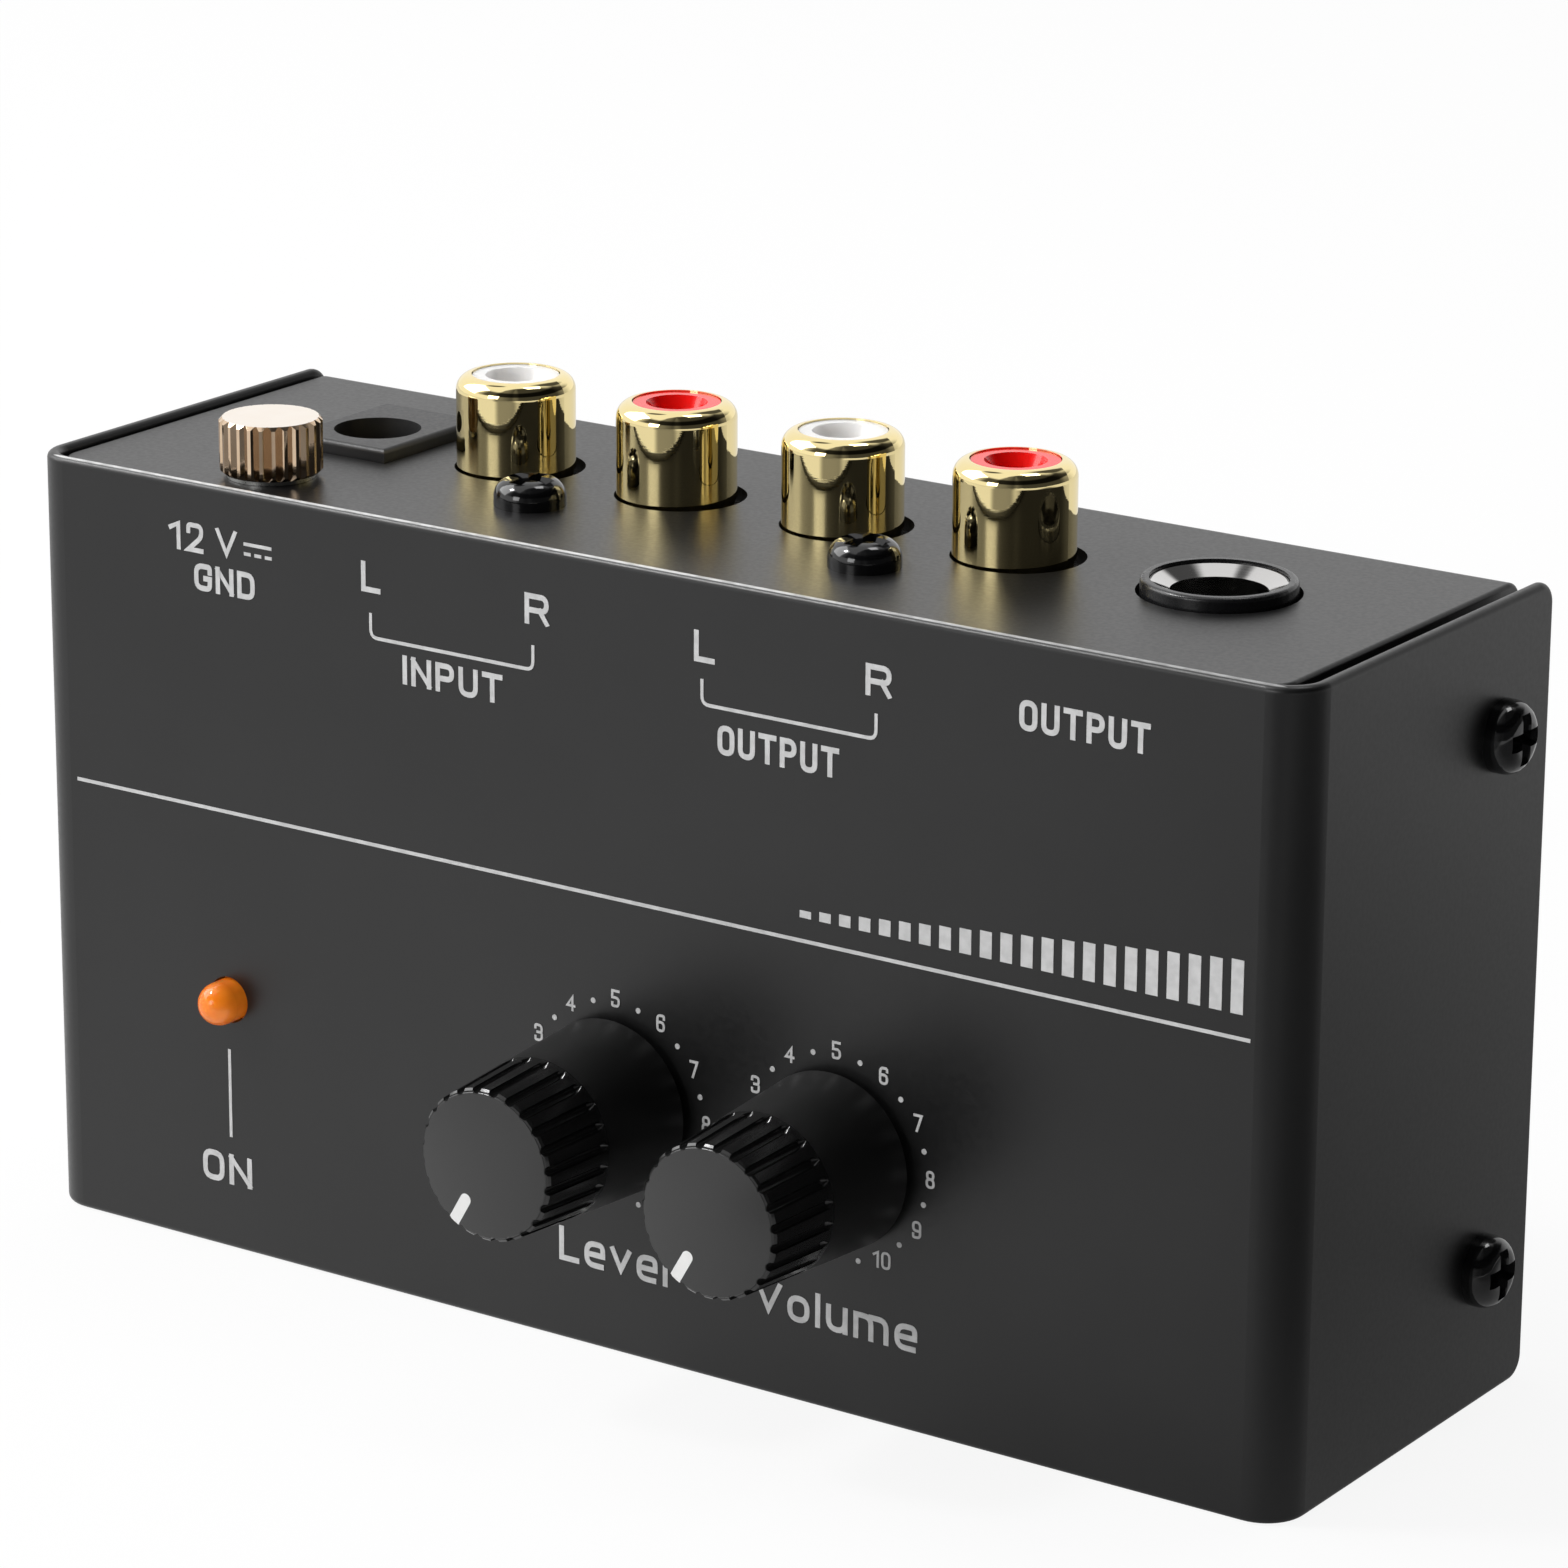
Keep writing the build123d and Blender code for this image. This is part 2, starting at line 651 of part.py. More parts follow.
def inlet_pin():
    """Centre pin with a rounded tip, standing on the floor of the socket."""
    top = panel_top + inlet_proud
    pin = post(inlet_pin_radius, top - inlet_bore_depth, top - inlet_pin_recess, inlet_x, inlet_y)
    return fillet(pin.edges().group_by(Axis.Z)[-1], inlet_pin_tip_round)


# ---------------------------------------------------------------- phone jack
def phone_body():
    """Moulded housing; its round collar shows in the panel and its side window holds the springs."""
    half = phone_width / 2
    face = board_y - phone_height
    body = block(phone_x - half, phone_x + half, face, board_y, phone_low, panel_under)
    body = fillet(body.edges().filter_by(Axis.Z).group_by(Axis.Y)[0], phone_corner_round)
    collar_top = panel_top + phone_collar_proud
    collar = post(phone_collar_radius, panel_under - over, collar_top, phone_x, phone_y)
    body += fillet(collar.edges().group_by(Axis.Z)[-1], phone_collar_round)
    nose_low = collar_top - phone_nose_length
    nose = phone_collar_radius - phone_collar_wall + thread_clearance
    body -= post(nose, nose_low, collar_top + over, phone_x, phone_y)
    floor = phone_low + phone_end_wall
    body -= post(phone_chamber, floor, nose_low, phone_x, phone_y)
    window = phone_spring_width / 2 + phone_window_margin
    body -= block(phone_x - window, phone_x + window, face - over, phone_y, floor, nose_low - over)
    return body


def phone_nose():
    """Chromed entry: a cone that runs into the bore for the plug."""
    collar_top = panel_top + phone_collar_proud
    top = collar_top - phone_nose_recess
    low = collar_top - phone_nose_length
    outer = phone_collar_radius - phone_collar_wall
    nose = turned((phone_bore, low), (outer, low), (outer, top), (outer - phone_lip, top),
                  (phone_bore, top - phone_cone_depth))
    return Pos(phone_x, phone_y, 0) * nose


def phone_contacts():
    """Leaf springs that press on the plug's tip and ring through the housing's window."""
    springs = []
    half = phone_spring_width / 2
    back = board_y - phone_height + phone_spring_depth
    touch = phone_y - phone_bore + phone_spring_reach
    t = phone_spring_thickness
    for row in phone_spring_rows:
        foot = phone_low + phone_end_wall + row
        knee = foot + phone_spring_foot
        crest = knee + phone_spring_rise
        end = crest + phone_spring_fall
        leaf = Polyline((back, foot), (back, knee), (touch, crest), (back, end),
                        (back - t, end), (touch - t, crest), (back - t, knee), (back - t, foot), close=True)
        springs.append(extrude(Plane.YZ.offset(phone_x - half) * make_face(leaf), 2 * half))
    return springs


# ---------------------------------------------------------------- potentiometers and knobs
def pot_place(x):
    return facing_front(x, dial_height, board_y)


def pot_outline(z0, z1):
    """The housing's rectangular plan between two heights above the board."""
    low = pot_axis_offset - pot_height / 2
    return block(-pot_width / 2, pot_width / 2, low, low + pot_height, z0, z1)


def stop_half_angle():
    """Half the angle that the fixed stop fills, from the travel and the arm's own width."""
    arm = degrees(asin(shaft_arm_width / 2 / (shaft_radius + pot_stop_gap)))
    return (360 - knob_travel) / 2 - arm - pot_stop_clearance


def rotation_stop(low, high):
    """Sector of the cavity's wall that the shaft's arm runs against at both ends of its travel."""
    ring = (post(pot_cavity_radius + pot_wall / 4, low, high)
            - post(shaft_radius + pot_stop_gap, low - over, high + over))
    half = radians(stop_half_angle())
    reach = 3 * pot_cavity_radius
    edge_x, edge_y = reach * sin(half), -reach * cos(half)
    wedge = make_face(Polyline((0, 0), (edge_x, edge_y), (-edge_x, edge_y), close=True))
    return ring & (Pos(0, 0, low) * extrude(wedge, high - low))


def pot_body(x):
    """Moulded housing with the rotor's cavity and the fixed rotation stop inside."""
    body = fillet(pot_outline(pot_track_thickness, pot_depth).edges().filter_by(Axis.Z), pot_corner_round)
    cavity_top = pot_depth - pot_wall
    body -= post(pot_cavity_radius, pot_track_thickness - over, cavity_top)
    body += rotation_stop(cavity_top - pot_stop_height, cavity_top)
    body -= post(pot_bush_radius + thread_clearance, cavity_top - over, pot_depth + over)
    return pot_place(x) * body


def pot_tracks(x):
    """Phenolic wafer that carries the resistance tracks and closes the housing."""
    return pot_place(x) * pot_outline(0, pot_track_thickness)


def pot_bush(x):
    """Threaded bush that the shaft turns in."""
    neck = post(pot_bush_radius, pot_depth - pot_wall, pot_depth + pot_bush_length)
    flange = post(pot_bush_flange_radius, pot_depth, pot_depth + pot_bush_flange)
    bore = post(shaft_radius + shaft_clearance, 0, pot_depth + 2 * pot_bush_length)
    return pot_place(x) * (neck + flange - bore)


def rest_turn():
    """Rotation that brings a direction drawn upwards to the knob's lower stop."""
    return Rot(0, 0, knob_travel / 2)


def pot_shaft(x):
    """Long shaft with its rotor disc, stop arm and driving flat."""
    low = wiper_low + wiper_thickness
    shaft = post(shaft_radius, low, shaft_tip)
    shaft = chamfer(shaft.edges().group_by(Axis.Z)[-1], shaft_tip_chamfer)
    shaft += post(rotor_radius, low, low + rotor_thickness)
    cavity_top = pot_depth - pot_wall
    half = shaft_arm_width / 2
    shaft += block(-half, half, 0, rotor_radius, cavity_top - pot_stop_height, cavity_top - slack)
    shaft -= block(-shaft_radius, shaft_radius, shaft_radius - shaft_flat, 2 * shaft_radius,
                   board_to_front + knob_gap + shaft_flat_start, shaft_tip + over)
    return pot_place(x) * rest_turn() * shaft


def pot_wiper(x):
    """Spring ring on the rotor, with two fingers that slide on the tracks."""
    high = wiper_low + wiper_thickness
    ring = post(rotor_radius - wiper_rim, wiper_low, high) - post(wiper_bore, wiper_low - over, high + over)
    finger = slab(*wiper_finger, wiper_low - wiper_rise, wiper_low)
    fingers = [Pos(side * wiper_finger_radius, 0, 0) * finger for side in (-1, 1)]
    return pot_place(x) * rest_turn() * (ring + fingers)


def knob_radius_at(height):
    return knob_base_radius + (knob_top_radius - knob_base_radius) * height / knob_height


def knob_form():
    """Knob with its base at z = 0 and its pointer drawn upwards (+Y)."""
    c = knob_edge_chamfer
    knob = turned((0, 0), (knob_base_radius, 0), (knob_radius_at(knob_height - c), knob_height - c),
                  (knob_top_radius - c, knob_height), (0, knob_height))
    lean = degrees(atan2(knob_base_radius - knob_top_radius, knob_height))
    end = knob_flute_length + over
    cutter = turned((0, 0), (knob_flute_radius, knob_flute_point), (knob_flute_radius, end), (0, end))
    start = knob_height - knob_flute_length
    offset = knob_radius_at(start) + knob_flute_radius - knob_flute_depth
    flute = Pos(0, offset, start) * Rot(lean, 0, 0) * cutter
    step = 360 / knob_flutes
    return knob - [Rot(0, 0, (k + 0.5) * step) * flute for k in range(knob_flutes)]


def pointer_slot():
    start = pointer_inner_radius + pointer_width / 2
    low, high = knob_height - pointer_depth, knob_height + over
    slot = block(-pointer_width / 2, pointer_width / 2, start, knob_top_radius + over, low, high)
    return slot + post(pointer_width / 2, low, high, 0, start)


def knob_place(x):
    return facing_front(x, dial_height, front_y - knob_gap) * rest_turn()


def knob(x):
    """Body with a hollow underside, a hub and a bore that fits the shaft's flat."""
    body = knob_form() - pointer_slot()
    hub = shaft_radius + knob_fit + knob_hub_wall
    hollow = knob_radius_at(knob_recess_depth) - knob_wall
    body -= post(hollow, -over, knob_recess_depth) - post(hub, -2 * over, knob_recess_depth + over)
    bore = post(shaft_radius + knob_fit, -over, knob_bore_depth)
    flat = block(-2 * shaft_radius, 2 * shaft_radius, shaft_radius - shaft_flat + knob_fit, 2 * shaft_radius,
                 knob_round_bore, knob_bore_depth + over)
    return knob_place(x) * (body - (bore - flat))


def knob_pointer(x):
    return knob_place(x) * (knob_form() & pointer_slot())


# ---------------------------------------------------------------- power lamp
def lamp_lead_places():
    return [lamp_x - lamp_lead_spacing / 2, lamp_x + lamp_lead_spacing / 2]


def lamp_lens():
    """3 mm lamp: flange, barrel and a round dome."""
    barrel_end = lamp_length - lamp_radius
    flange = post(lamp_flange_radius, 0, lamp_flange_thickness)
    barrel = post(lamp_radius, 0, barrel_end)
    dome = Pos(0, 0, barrel_end) * Sphere(lamp_radius) & post(lamp_radius, barrel_end, lamp_length + over)
    return facing_front(lamp_x, lamp_height, lamp_base_y) * (flange + barrel + dome)


def lamp_leads():
    return [along_y(lamp_lead_radius, lamp_base_y, pin_back_y, x, lamp_height) for x in lamp_lead_places()]


def lamp_spacer():
    tube = along_y(lamp_spacer_radius, lamp_base_y, board_y, lamp_x, lamp_height)
    return tube - [along_y(lamp_lead_radius + slack, lamp_base_y - over, board_y + over, x, lamp_height)
                   for x in lamp_lead_places()]


# ---------------------------------------------------------------- electronics on the board
def on_board(place):
    """Place for a part that is drawn standing on z = 0, on the board's component side."""
    x, z = place
    return Pos(x, board_y, z) * Rot(90, 0, 0)


def lying_bar(radius, length, lift):
    """Round bar along X, its underside at the given height."""
    return Pos(0, 0, lift + radius) * Rot(0, 90, 0) * Cylinder(radius, length)


def end_feet(half_span, height):
    return [Pos(side * half_span, 0, 0) * slab(lead_foot, lead_foot, 0, height) for side in (-1, 1)]


def op_amp_chips():
    leg_x, leg_y, leg_z = chip_leg
    legs = [Pos(step * chip_leg_pitch, side * chip_leg_offset, 0) * slab(leg_x, leg_y, 0, leg_z)
            for step in (-1.5, -0.5, 0.5, 1.5) for side in (-1, 1)]
    top = chip_lift + chip_height
    package = slab(chip_length, chip_width, chip_lift, top) + legs
    package -= post(chip_notch_radius, top - chip_notch_depth, top + over, -chip_length / 2)
    return [on_board(place) * package for place in chip_places]


def electrolytic_capacitors():
    waist = can_radius - can_groove
    can = turned((0, 0), (can_radius, 0), (can_radius, can_groove_height - can_edge),
                 (waist, can_groove_height), (can_radius, can_groove_height + can_edge),
                 (can_radius, can_height - can_edge), (can_radius - can_edge, can_height), (0, can_height))
    return [on_board(place) * can for place in can_places]


def film_capacitors():
    box = slab(film_length, film_width, 0, film_height)
    box = fillet(box.edges().group_by(Axis.Z)[-1], film_round)
    return [on_board(place) * box for place in film_places]


def resistors():
    centre = resistor_lift + resistor_cap_radius
    body = lying_bar(resistor_radius, resistor_length, centre - resistor_radius)
    cap = lying_bar(resistor_cap_radius, resistor_cap_length, resistor_lift)
    reach = (resistor_length - resistor_cap_length) / 2
    body += [Pos(side * reach, 0, 0) * cap for side in (-1, 1)]
    body += end_feet((resistor_length + lead_foot) / 2, centre)
    return [on_board(place) * body for place in resistor_places]


def voltage_regulator():
    body = post(regulator_radius, 0, regulator_height)
    body -= block(-2 * regulator_radius, 2 * regulator_radius, -2 * regulator_radius, -regulator_face,
                  regulator_foot, regulator_height + over)
    return on_board(regulator_place) * body


def protection_diode():
    body = lying_bar(diode_radius, diode_length, 0) + end_feet((diode_length + lead_foot) / 2, diode_radius)
    return on_board(diode_place) * body


# ---------------------------------------------------------------- write every node
save("front_cover", front_cover())
save("rear_chassis", rear_chassis())
save("cover_screws", *cover_screws())
save("rubber_feet", *rubber_feet())

save("circuit_board", circuit_board())
save("board_standoffs", *board_standoffs())
save("board_screws", *board_screws())

for pair, centre in (("input", rca_input_centre), ("output", rca_output_centre)):
    save(f"{pair}_jack_block", rca_block(centre))
    for side, x in zip(("left", "right"), pair_places(centre)):
        save(f"{pair}_{side}_shell", rca_shell(x))
        save(f"{pair}_{side}_insulator", rca_insulator(x))
        save(f"{pair}_{side}_contact", rca_contact(x))
save("jack_block_screws", *rca_block_screws())
save("jack_solder_pins", *pin_bodies(rca_pins()))

save("ground_screw", ground_screw())
save("ground_washer", ground_washer())
save("ground_bush", ground_bush())
save("ground_lug", ground_lug())
save("ground_wire", ground_wire())

save("power_inlet_body", inlet_body())
save("power_inlet_pin", inlet_pin())
save("power_inlet_tabs", *pin_bodies(inlet_pins()))

save("phone_jack_body", phone_body())
save("phone_jack_nose", phone_nose())
save("phone_jack_contacts", *phone_contacts())
save("phone_jack_pins", *pin_bodies(phone_pins()))

for dial, x in (("level", level_x), ("volume", volume_x)):
    save(f"{dial}_pot_body", pot_body(x))
    save(f"{dial}_pot_tracks", pot_tracks(x))
    save(f"{dial}_pot_bush", pot_bush(x))
    save(f"{dial}_shaft", pot_shaft(x))
    save(f"{dial}_wiper", pot_wiper(x))
    save(f"{dial}_knob", knob(x))
    save(f"{dial}_pointer", knob_pointer(x))
save("pot_solder_pins", *pin_bodies(pot_pins()))

save("lamp_lens", lamp_lens())
save("lamp_leads", *lamp_leads())
save("lamp_spacer", lamp_spacer())

save("op_amp_chips", *op_amp_chips())
save("electrolytic_capacitors", *electrolytic_capacitors())
save("film_capacitors", *film_capacitors())
save("resistors", *resistors())
save("voltage_regulator", voltage_regulator())
save("protection_diode", protection_diode())
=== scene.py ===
"""Looks of the phono preamp: camera, light, finishes and the print on its control face."""
import json
from math import cos, pi, radians, sin

import bmesh
import bpy
from mathutils import Matrix, Vector


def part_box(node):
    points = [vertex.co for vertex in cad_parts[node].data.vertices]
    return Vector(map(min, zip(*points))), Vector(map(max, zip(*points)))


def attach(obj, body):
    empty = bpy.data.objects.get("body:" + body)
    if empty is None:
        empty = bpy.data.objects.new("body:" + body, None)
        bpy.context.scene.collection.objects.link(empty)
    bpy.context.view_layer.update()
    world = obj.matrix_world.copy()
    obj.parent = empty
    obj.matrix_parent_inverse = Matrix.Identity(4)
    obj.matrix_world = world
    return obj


MM = 0.001                            # sizes below are millimetres unless they say otherwise

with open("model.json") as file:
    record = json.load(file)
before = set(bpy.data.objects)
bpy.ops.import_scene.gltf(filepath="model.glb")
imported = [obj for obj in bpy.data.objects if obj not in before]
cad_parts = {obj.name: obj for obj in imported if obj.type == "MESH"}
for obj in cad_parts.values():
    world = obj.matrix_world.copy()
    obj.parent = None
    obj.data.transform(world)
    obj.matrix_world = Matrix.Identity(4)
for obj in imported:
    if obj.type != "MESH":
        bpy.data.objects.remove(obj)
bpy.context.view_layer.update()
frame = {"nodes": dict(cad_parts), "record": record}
nodes = frame["nodes"]
scene = bpy.context.scene


# ------------------------------------------------------------------ camera
def aim(yaw, pitch, roll):
    """Camera axes (right, up, back) for a heading clockwise from +Y, a downward pitch and a roll."""
    ahead = Vector((-sin(yaw) * cos(pitch), cos(yaw) * cos(pitch), -sin(pitch)))
    level_right = Vector((cos(yaw), sin(yaw), 0))
    level_up = level_right.cross(ahead)
    right = level_right * cos(roll) + level_up * sin(roll)
    up = level_up * cos(roll) - level_right * sin(roll)
    return right, up, -ahead


def make_camera():
    """The camera that the photo was taken with, as fitted to the case's edges."""
    place = (234.83, -342.05, 165.57)
    yaw, pitch, roll = 34.288, 17.242, 0.344      # degrees
    frame_pixels, focal_pixels = 1568, 6330
    nearest, farthest = 0.01, 50.0                # metres
    data = bpy.data.cameras.new("camera")
    data.sensor_width = 36.0
    data.lens = data.sensor_width * focal_pixels / frame_pixels
    data.clip_start, data.clip_end = nearest, farthest
    camera = bpy.data.objects.new("camera", data)
    scene.collection.objects.link(camera)
    axes = Matrix(aim(radians(yaw), radians(pitch), radians(roll))).transposed().to_4x4()
    camera.matrix_world = Matrix.Translation(Vector(place) * MM) @ axes
    scene.camera = camera


# ------------------------------------------------------------------ node helpers
class Tree:
    """A node tree with short calls for the nodes that the finishes share."""

    def __init__(self, owner):
        owner.use_nodes = True
        self.tree = owner.node_tree
        self.tree.nodes.clear()

    def add(self, kind, settings=None, **inputs):
        """A node with its own settings, its inputs by name with _ for a space, as values or as links."""
        node = self.tree.nodes.new(kind)
        for name, value in (settings or {}).items():
            setattr(node, name, value)
        for name, value in inputs.items():
            self.feed(node, name.replace("_", " "), value)
        return node

    def feed(self, node, name, value):
        socket = node.inputs[int(name)] if name.isdigit() else node.inputs[name]
        if isinstance(value, bpy.types.NodeSocket):
            self.tree.links.new(value, socket)
        else:
            socket.default_value = value

    def maths(self, operation, first, second=0.0):
        node = self.tree.nodes.new("ShaderNodeMath")
        node.operation = operation
        self.feed(node, "0", first)
        self.feed(node, "1", second)
        return node.outputs[0]

    def spread(self, value, low, high, from_low=0.0, from_high=1.0):
        """A value from one range mapped smoothly onto another."""
        node = self.add("ShaderNodeMapRange", {"interpolation_type": "SMOOTHSTEP"}, Value=value)
        node.inputs["From Min"].default_value = from_low
        node.inputs["From Max"].default_value = from_high
        node.inputs["To Min"].default_value = low
        node.inputs["To Max"].default_value = high
        return node.outputs["Result"]

    def place(self):
        """Object coordinates, which stay with the piece as it moves."""
        return self.add("ShaderNodeTexCoord").outputs["Object"]

    def noise(self, grain, detail=2.0, vector=None):
        """Noise whose features are about grain millimetres across."""
        node = self.add("ShaderNodeTexNoise", Vector=vector or self.place(), Scale=1 / (grain * MM),
                        Detail=detail)
        return node.outputs["Fac"]

    def length(self, vector):
        node = self.add("ShaderNodeVectorMath", {"operation": "LENGTH"})
        self.feed(node, "0", vector)
        return node.outputs["Value"]

    def agreement(self, vector, direction):
        """Cosine between a unit vector and a fixed direction of length 1."""
        node = self.add("ShaderNodeVectorMath", {"operation": "DOT_PRODUCT"})
        self.feed(node, "0", vector)
        node.inputs[1].default_value = direction
        return node.outputs["Value"]

    def blend(self, factor, first, second):
        """The first colour where the factor is 0, and the second where it is 1."""
        node = self.tree.nodes.new("ShaderNodeMix")
        node.data_type = "RGBA"
        self.feed(node, "0", factor)
        self.feed(node, "6", first)
        self.feed(node, "7", second)
        return node.outputs[2]

    def relief(self, height, depth):
        """Bump from a 0 to 1 height that stands depth millimetres tall."""
        node = self.add("ShaderNodeBump", Height=height, Strength=1.0, Distance=depth * MM)
        return node.outputs["Normal"]


def colour(red, green, blue):
    return (red, green, blue, 1.0)


def grey(value):
    return colour(value, value, value)


def shaded(base, factor):
    """A base colour of three channels, darkened by a factor."""
    return colour(*(channel * factor for channel in base))


# ------------------------------------------------------------------ finishes
PATCH_RANGE = (0.3, 0.7)              # the part of the noise that patches are spread over
FINE_RANGE = (0.25, 0.75)             # the same for the fine variation of roughness
SMOOTHEST = 0.02                      # no plain finish is glossier than this
EDGE_HIGHLIGHT_TONE = 0.70                     # tone of the painted highlight along the cut edge


def finish(name, base, roughness, metallic=0.0, mottle=0.15, mottle_grain=6.0, grain=0.25, relief=0.002,
           rough_spread=0.04, painted_highlight=None, **sockets):
    """A surface with its own tone variation, roughness variation and fine relief.

    mottle is how much darker its patches are, mottle_grain and grain are the sizes of its patches and its
    relief, and painted_highlight gives the share of a painted highlight, from the tree.
    """
    material = bpy.data.materials.new(name)
    tree = Tree(material)
    patches = tree.noise(mottle_grain, detail=4.0)
    fine = tree.noise(grain)
    tone = tree.blend(tree.spread(patches, 0.0, 1.0, *PATCH_RANGE), shaded(base, 1 - mottle), colour(*base))
    # a painted highlight lightens the tone where the given share says
    if painted_highlight:
        tone = tree.blend(painted_highlight(tree), tone, grey(EDGE_HIGHLIGHT_TONE))
    rough = tree.spread(fine, max(roughness - rough_spread, SMOOTHEST), roughness + rough_spread, *FINE_RANGE)
    shader = tree.add("ShaderNodeBsdfPrincipled", Base_Color=tone, Roughness=rough,
                      Normal=tree.relief(fine, relief), Metallic=metallic)
    for socket, value in sockets.items():
        shader.inputs[socket.replace("_", " ")].default_value = value
    tree.add("ShaderNodeOutputMaterial", Surface=shader.outputs[0])
    return material


def cut_edge(tree):
    """Share of a painted highlight along the front cover's upper edge, less of it towards the right."""
    highlight_bottom, highlight_top = 0.07, 0.02            # below the upper edge
    highlight_full, highlight_end = 0.52, 0.60              # behind the control face
    patch, least, patch_range = 1.3, 0.7, (0.35, 0.6)    # size and lowest share of the painted highlight's patches
    fade_start, right_share = -5, 0.5             # where the painted highlight starts to fade, and its share at the right
    low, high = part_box("front_cover")
    place = tree.add("ShaderNodeSeparateXYZ", Vector=tree.place())
    # painted highlight: strongest on the upper rounded edge, fading towards the right
    up = tree.spread(place.outputs["Z"], 0.0, 1.0, high.z - highlight_bottom * MM, high.z - highlight_top * MM)
    ahead = tree.spread(place.outputs["Y"], 1.0, 0.0, low.y + highlight_full * MM, low.y + highlight_end * MM)
    patchy = tree.spread(tree.noise(patch), least, 1.0, *patch_range)
    leftward = tree.spread(place.outputs["X"], 1.0, right_share, fade_start * MM, high.x)
    return tree.maths("MULTIPLY", tree.maths("MULTIPLY", patchy, leftward), tree.maths("MULTIPLY", up, ahead))


def knob_plastic():
    """Moulded black: glossy on the fluted part, satin on the skirt, with a slightly crowned end face."""
    radius, crown_height = 5.2, 0.42              # of the end face
    end_from, end_to = 0.03, 0.12                 # where the end face's finish gives way, behind its front
    skirt_from, skirt_to = 6.1, 6.5               # where the skirt's finish sets in, behind the same
    flute_rough, skirt_rough, end_rough, rough_spread = 0.17, 0.40, 0.25, 0.02
    body_dark, body_pale, end_tone = grey(0.005), grey(0.0065), grey(0.014)
    grain, relief, mottle_grain, refraction = 0.4, 0.0008, 6.0, 1.58
    material = bpy.data.materials.new("knob_plastic")
    tree = Tree(material)
    place = tree.add("ShaderNodeSeparateXYZ", Vector=tree.place())
    level, volume = ((low + high) / 2 for low, high in (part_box("level_knob"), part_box("volume_knob")))
    end_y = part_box("level_knob")[0].y
    second = tree.maths("GREATER_THAN", place.outputs["X"], (level.x + volume.x) / 2)
    shift = tree.maths("MULTIPLY", second, volume.x - level.x)
    across = tree.maths("SUBTRACT", tree.maths("SUBTRACT", place.outputs["X"], level.x), shift)
    up = tree.maths("SUBTRACT", place.outputs["Z"], level.z)
    from_axis = tree.length(tree.add("ShaderNodeCombineXYZ", X=across, Y=up).outputs[0])
    share = tree.maths("DIVIDE", from_axis, radius * MM)
    end_face = tree.spread(place.outputs["Y"], 1.0, 0.0, end_y + end_from * MM, end_y + end_to * MM)
    crown = tree.maths("MULTIPLY", tree.maths("MULTIPLY", share, share), end_face)
    fine = tree.noise(grain)
    crowned = tree.add("ShaderNodeBump", {"invert": True}, Height=crown, Strength=1.0,
                       Distance=crown_height * MM)
    normal = tree.add("ShaderNodeBump", Height=fine, Strength=1.0, Distance=relief * MM,
                      Normal=crowned.outputs["Normal"])
    body = tree.blend(tree.noise(mottle_grain, detail=4.0), body_dark, body_pale)
    tone = tree.blend(end_face, body, end_tone)
    sides = tree.spread(place.outputs["Y"], flute_rough, skirt_rough, end_y + skirt_from * MM,
                        end_y + skirt_to * MM)
    rough = tree.maths("ADD", tree.maths("MAXIMUM", sides, tree.maths("MULTIPLY", end_face, end_rough)),
                       tree.maths("MULTIPLY", fine, rough_spread))
    shader = tree.add("ShaderNodeBsdfPrincipled", Base_Color=tone, Roughness=rough, Normal=normal.outputs[0],
                      IOR=refraction)
    tree.add("ShaderNodeOutputMaterial", Surface=shader.outputs[0])
    return material


def turned_metal(name, base, roughness, ring=0.12, relief=0.0015):
    """Bright metal with the fine lines that turning leaves, which lie one above the other along Z."""
    drawn_out = (0.02, 0.02, 1.0)                 # noise drawn out level becomes lines
    darkest, smoothest, roughest = 0.9, 0.7, 1.3  # of the base colour and of the roughness
    haze_grain = 3.0
    material = bpy.data.materials.new(name)
    tree = Tree(material)
    stretch = tree.add("ShaderNodeMapping", Vector=tree.place())
    stretch.inputs["Scale"].default_value = drawn_out
    rings = tree.noise(ring, vector=stretch.outputs[0])
    haze = tree.noise(haze_grain, detail=3.0)
    tone = tree.blend(haze, shaded(base, darkest), colour(*base))
    rough = tree.spread(haze, roughness * smoothest, roughness * roughest, *PATCH_RANGE)
    shader = tree.add("ShaderNodeBsdfPrincipled", Base_Color=tone, Roughness=rough,
                      Normal=tree.relief(rings, relief), Metallic=1.0)
    tree.add("ShaderNodeOutputMaterial", Surface=shader.outputs[0])
    return material


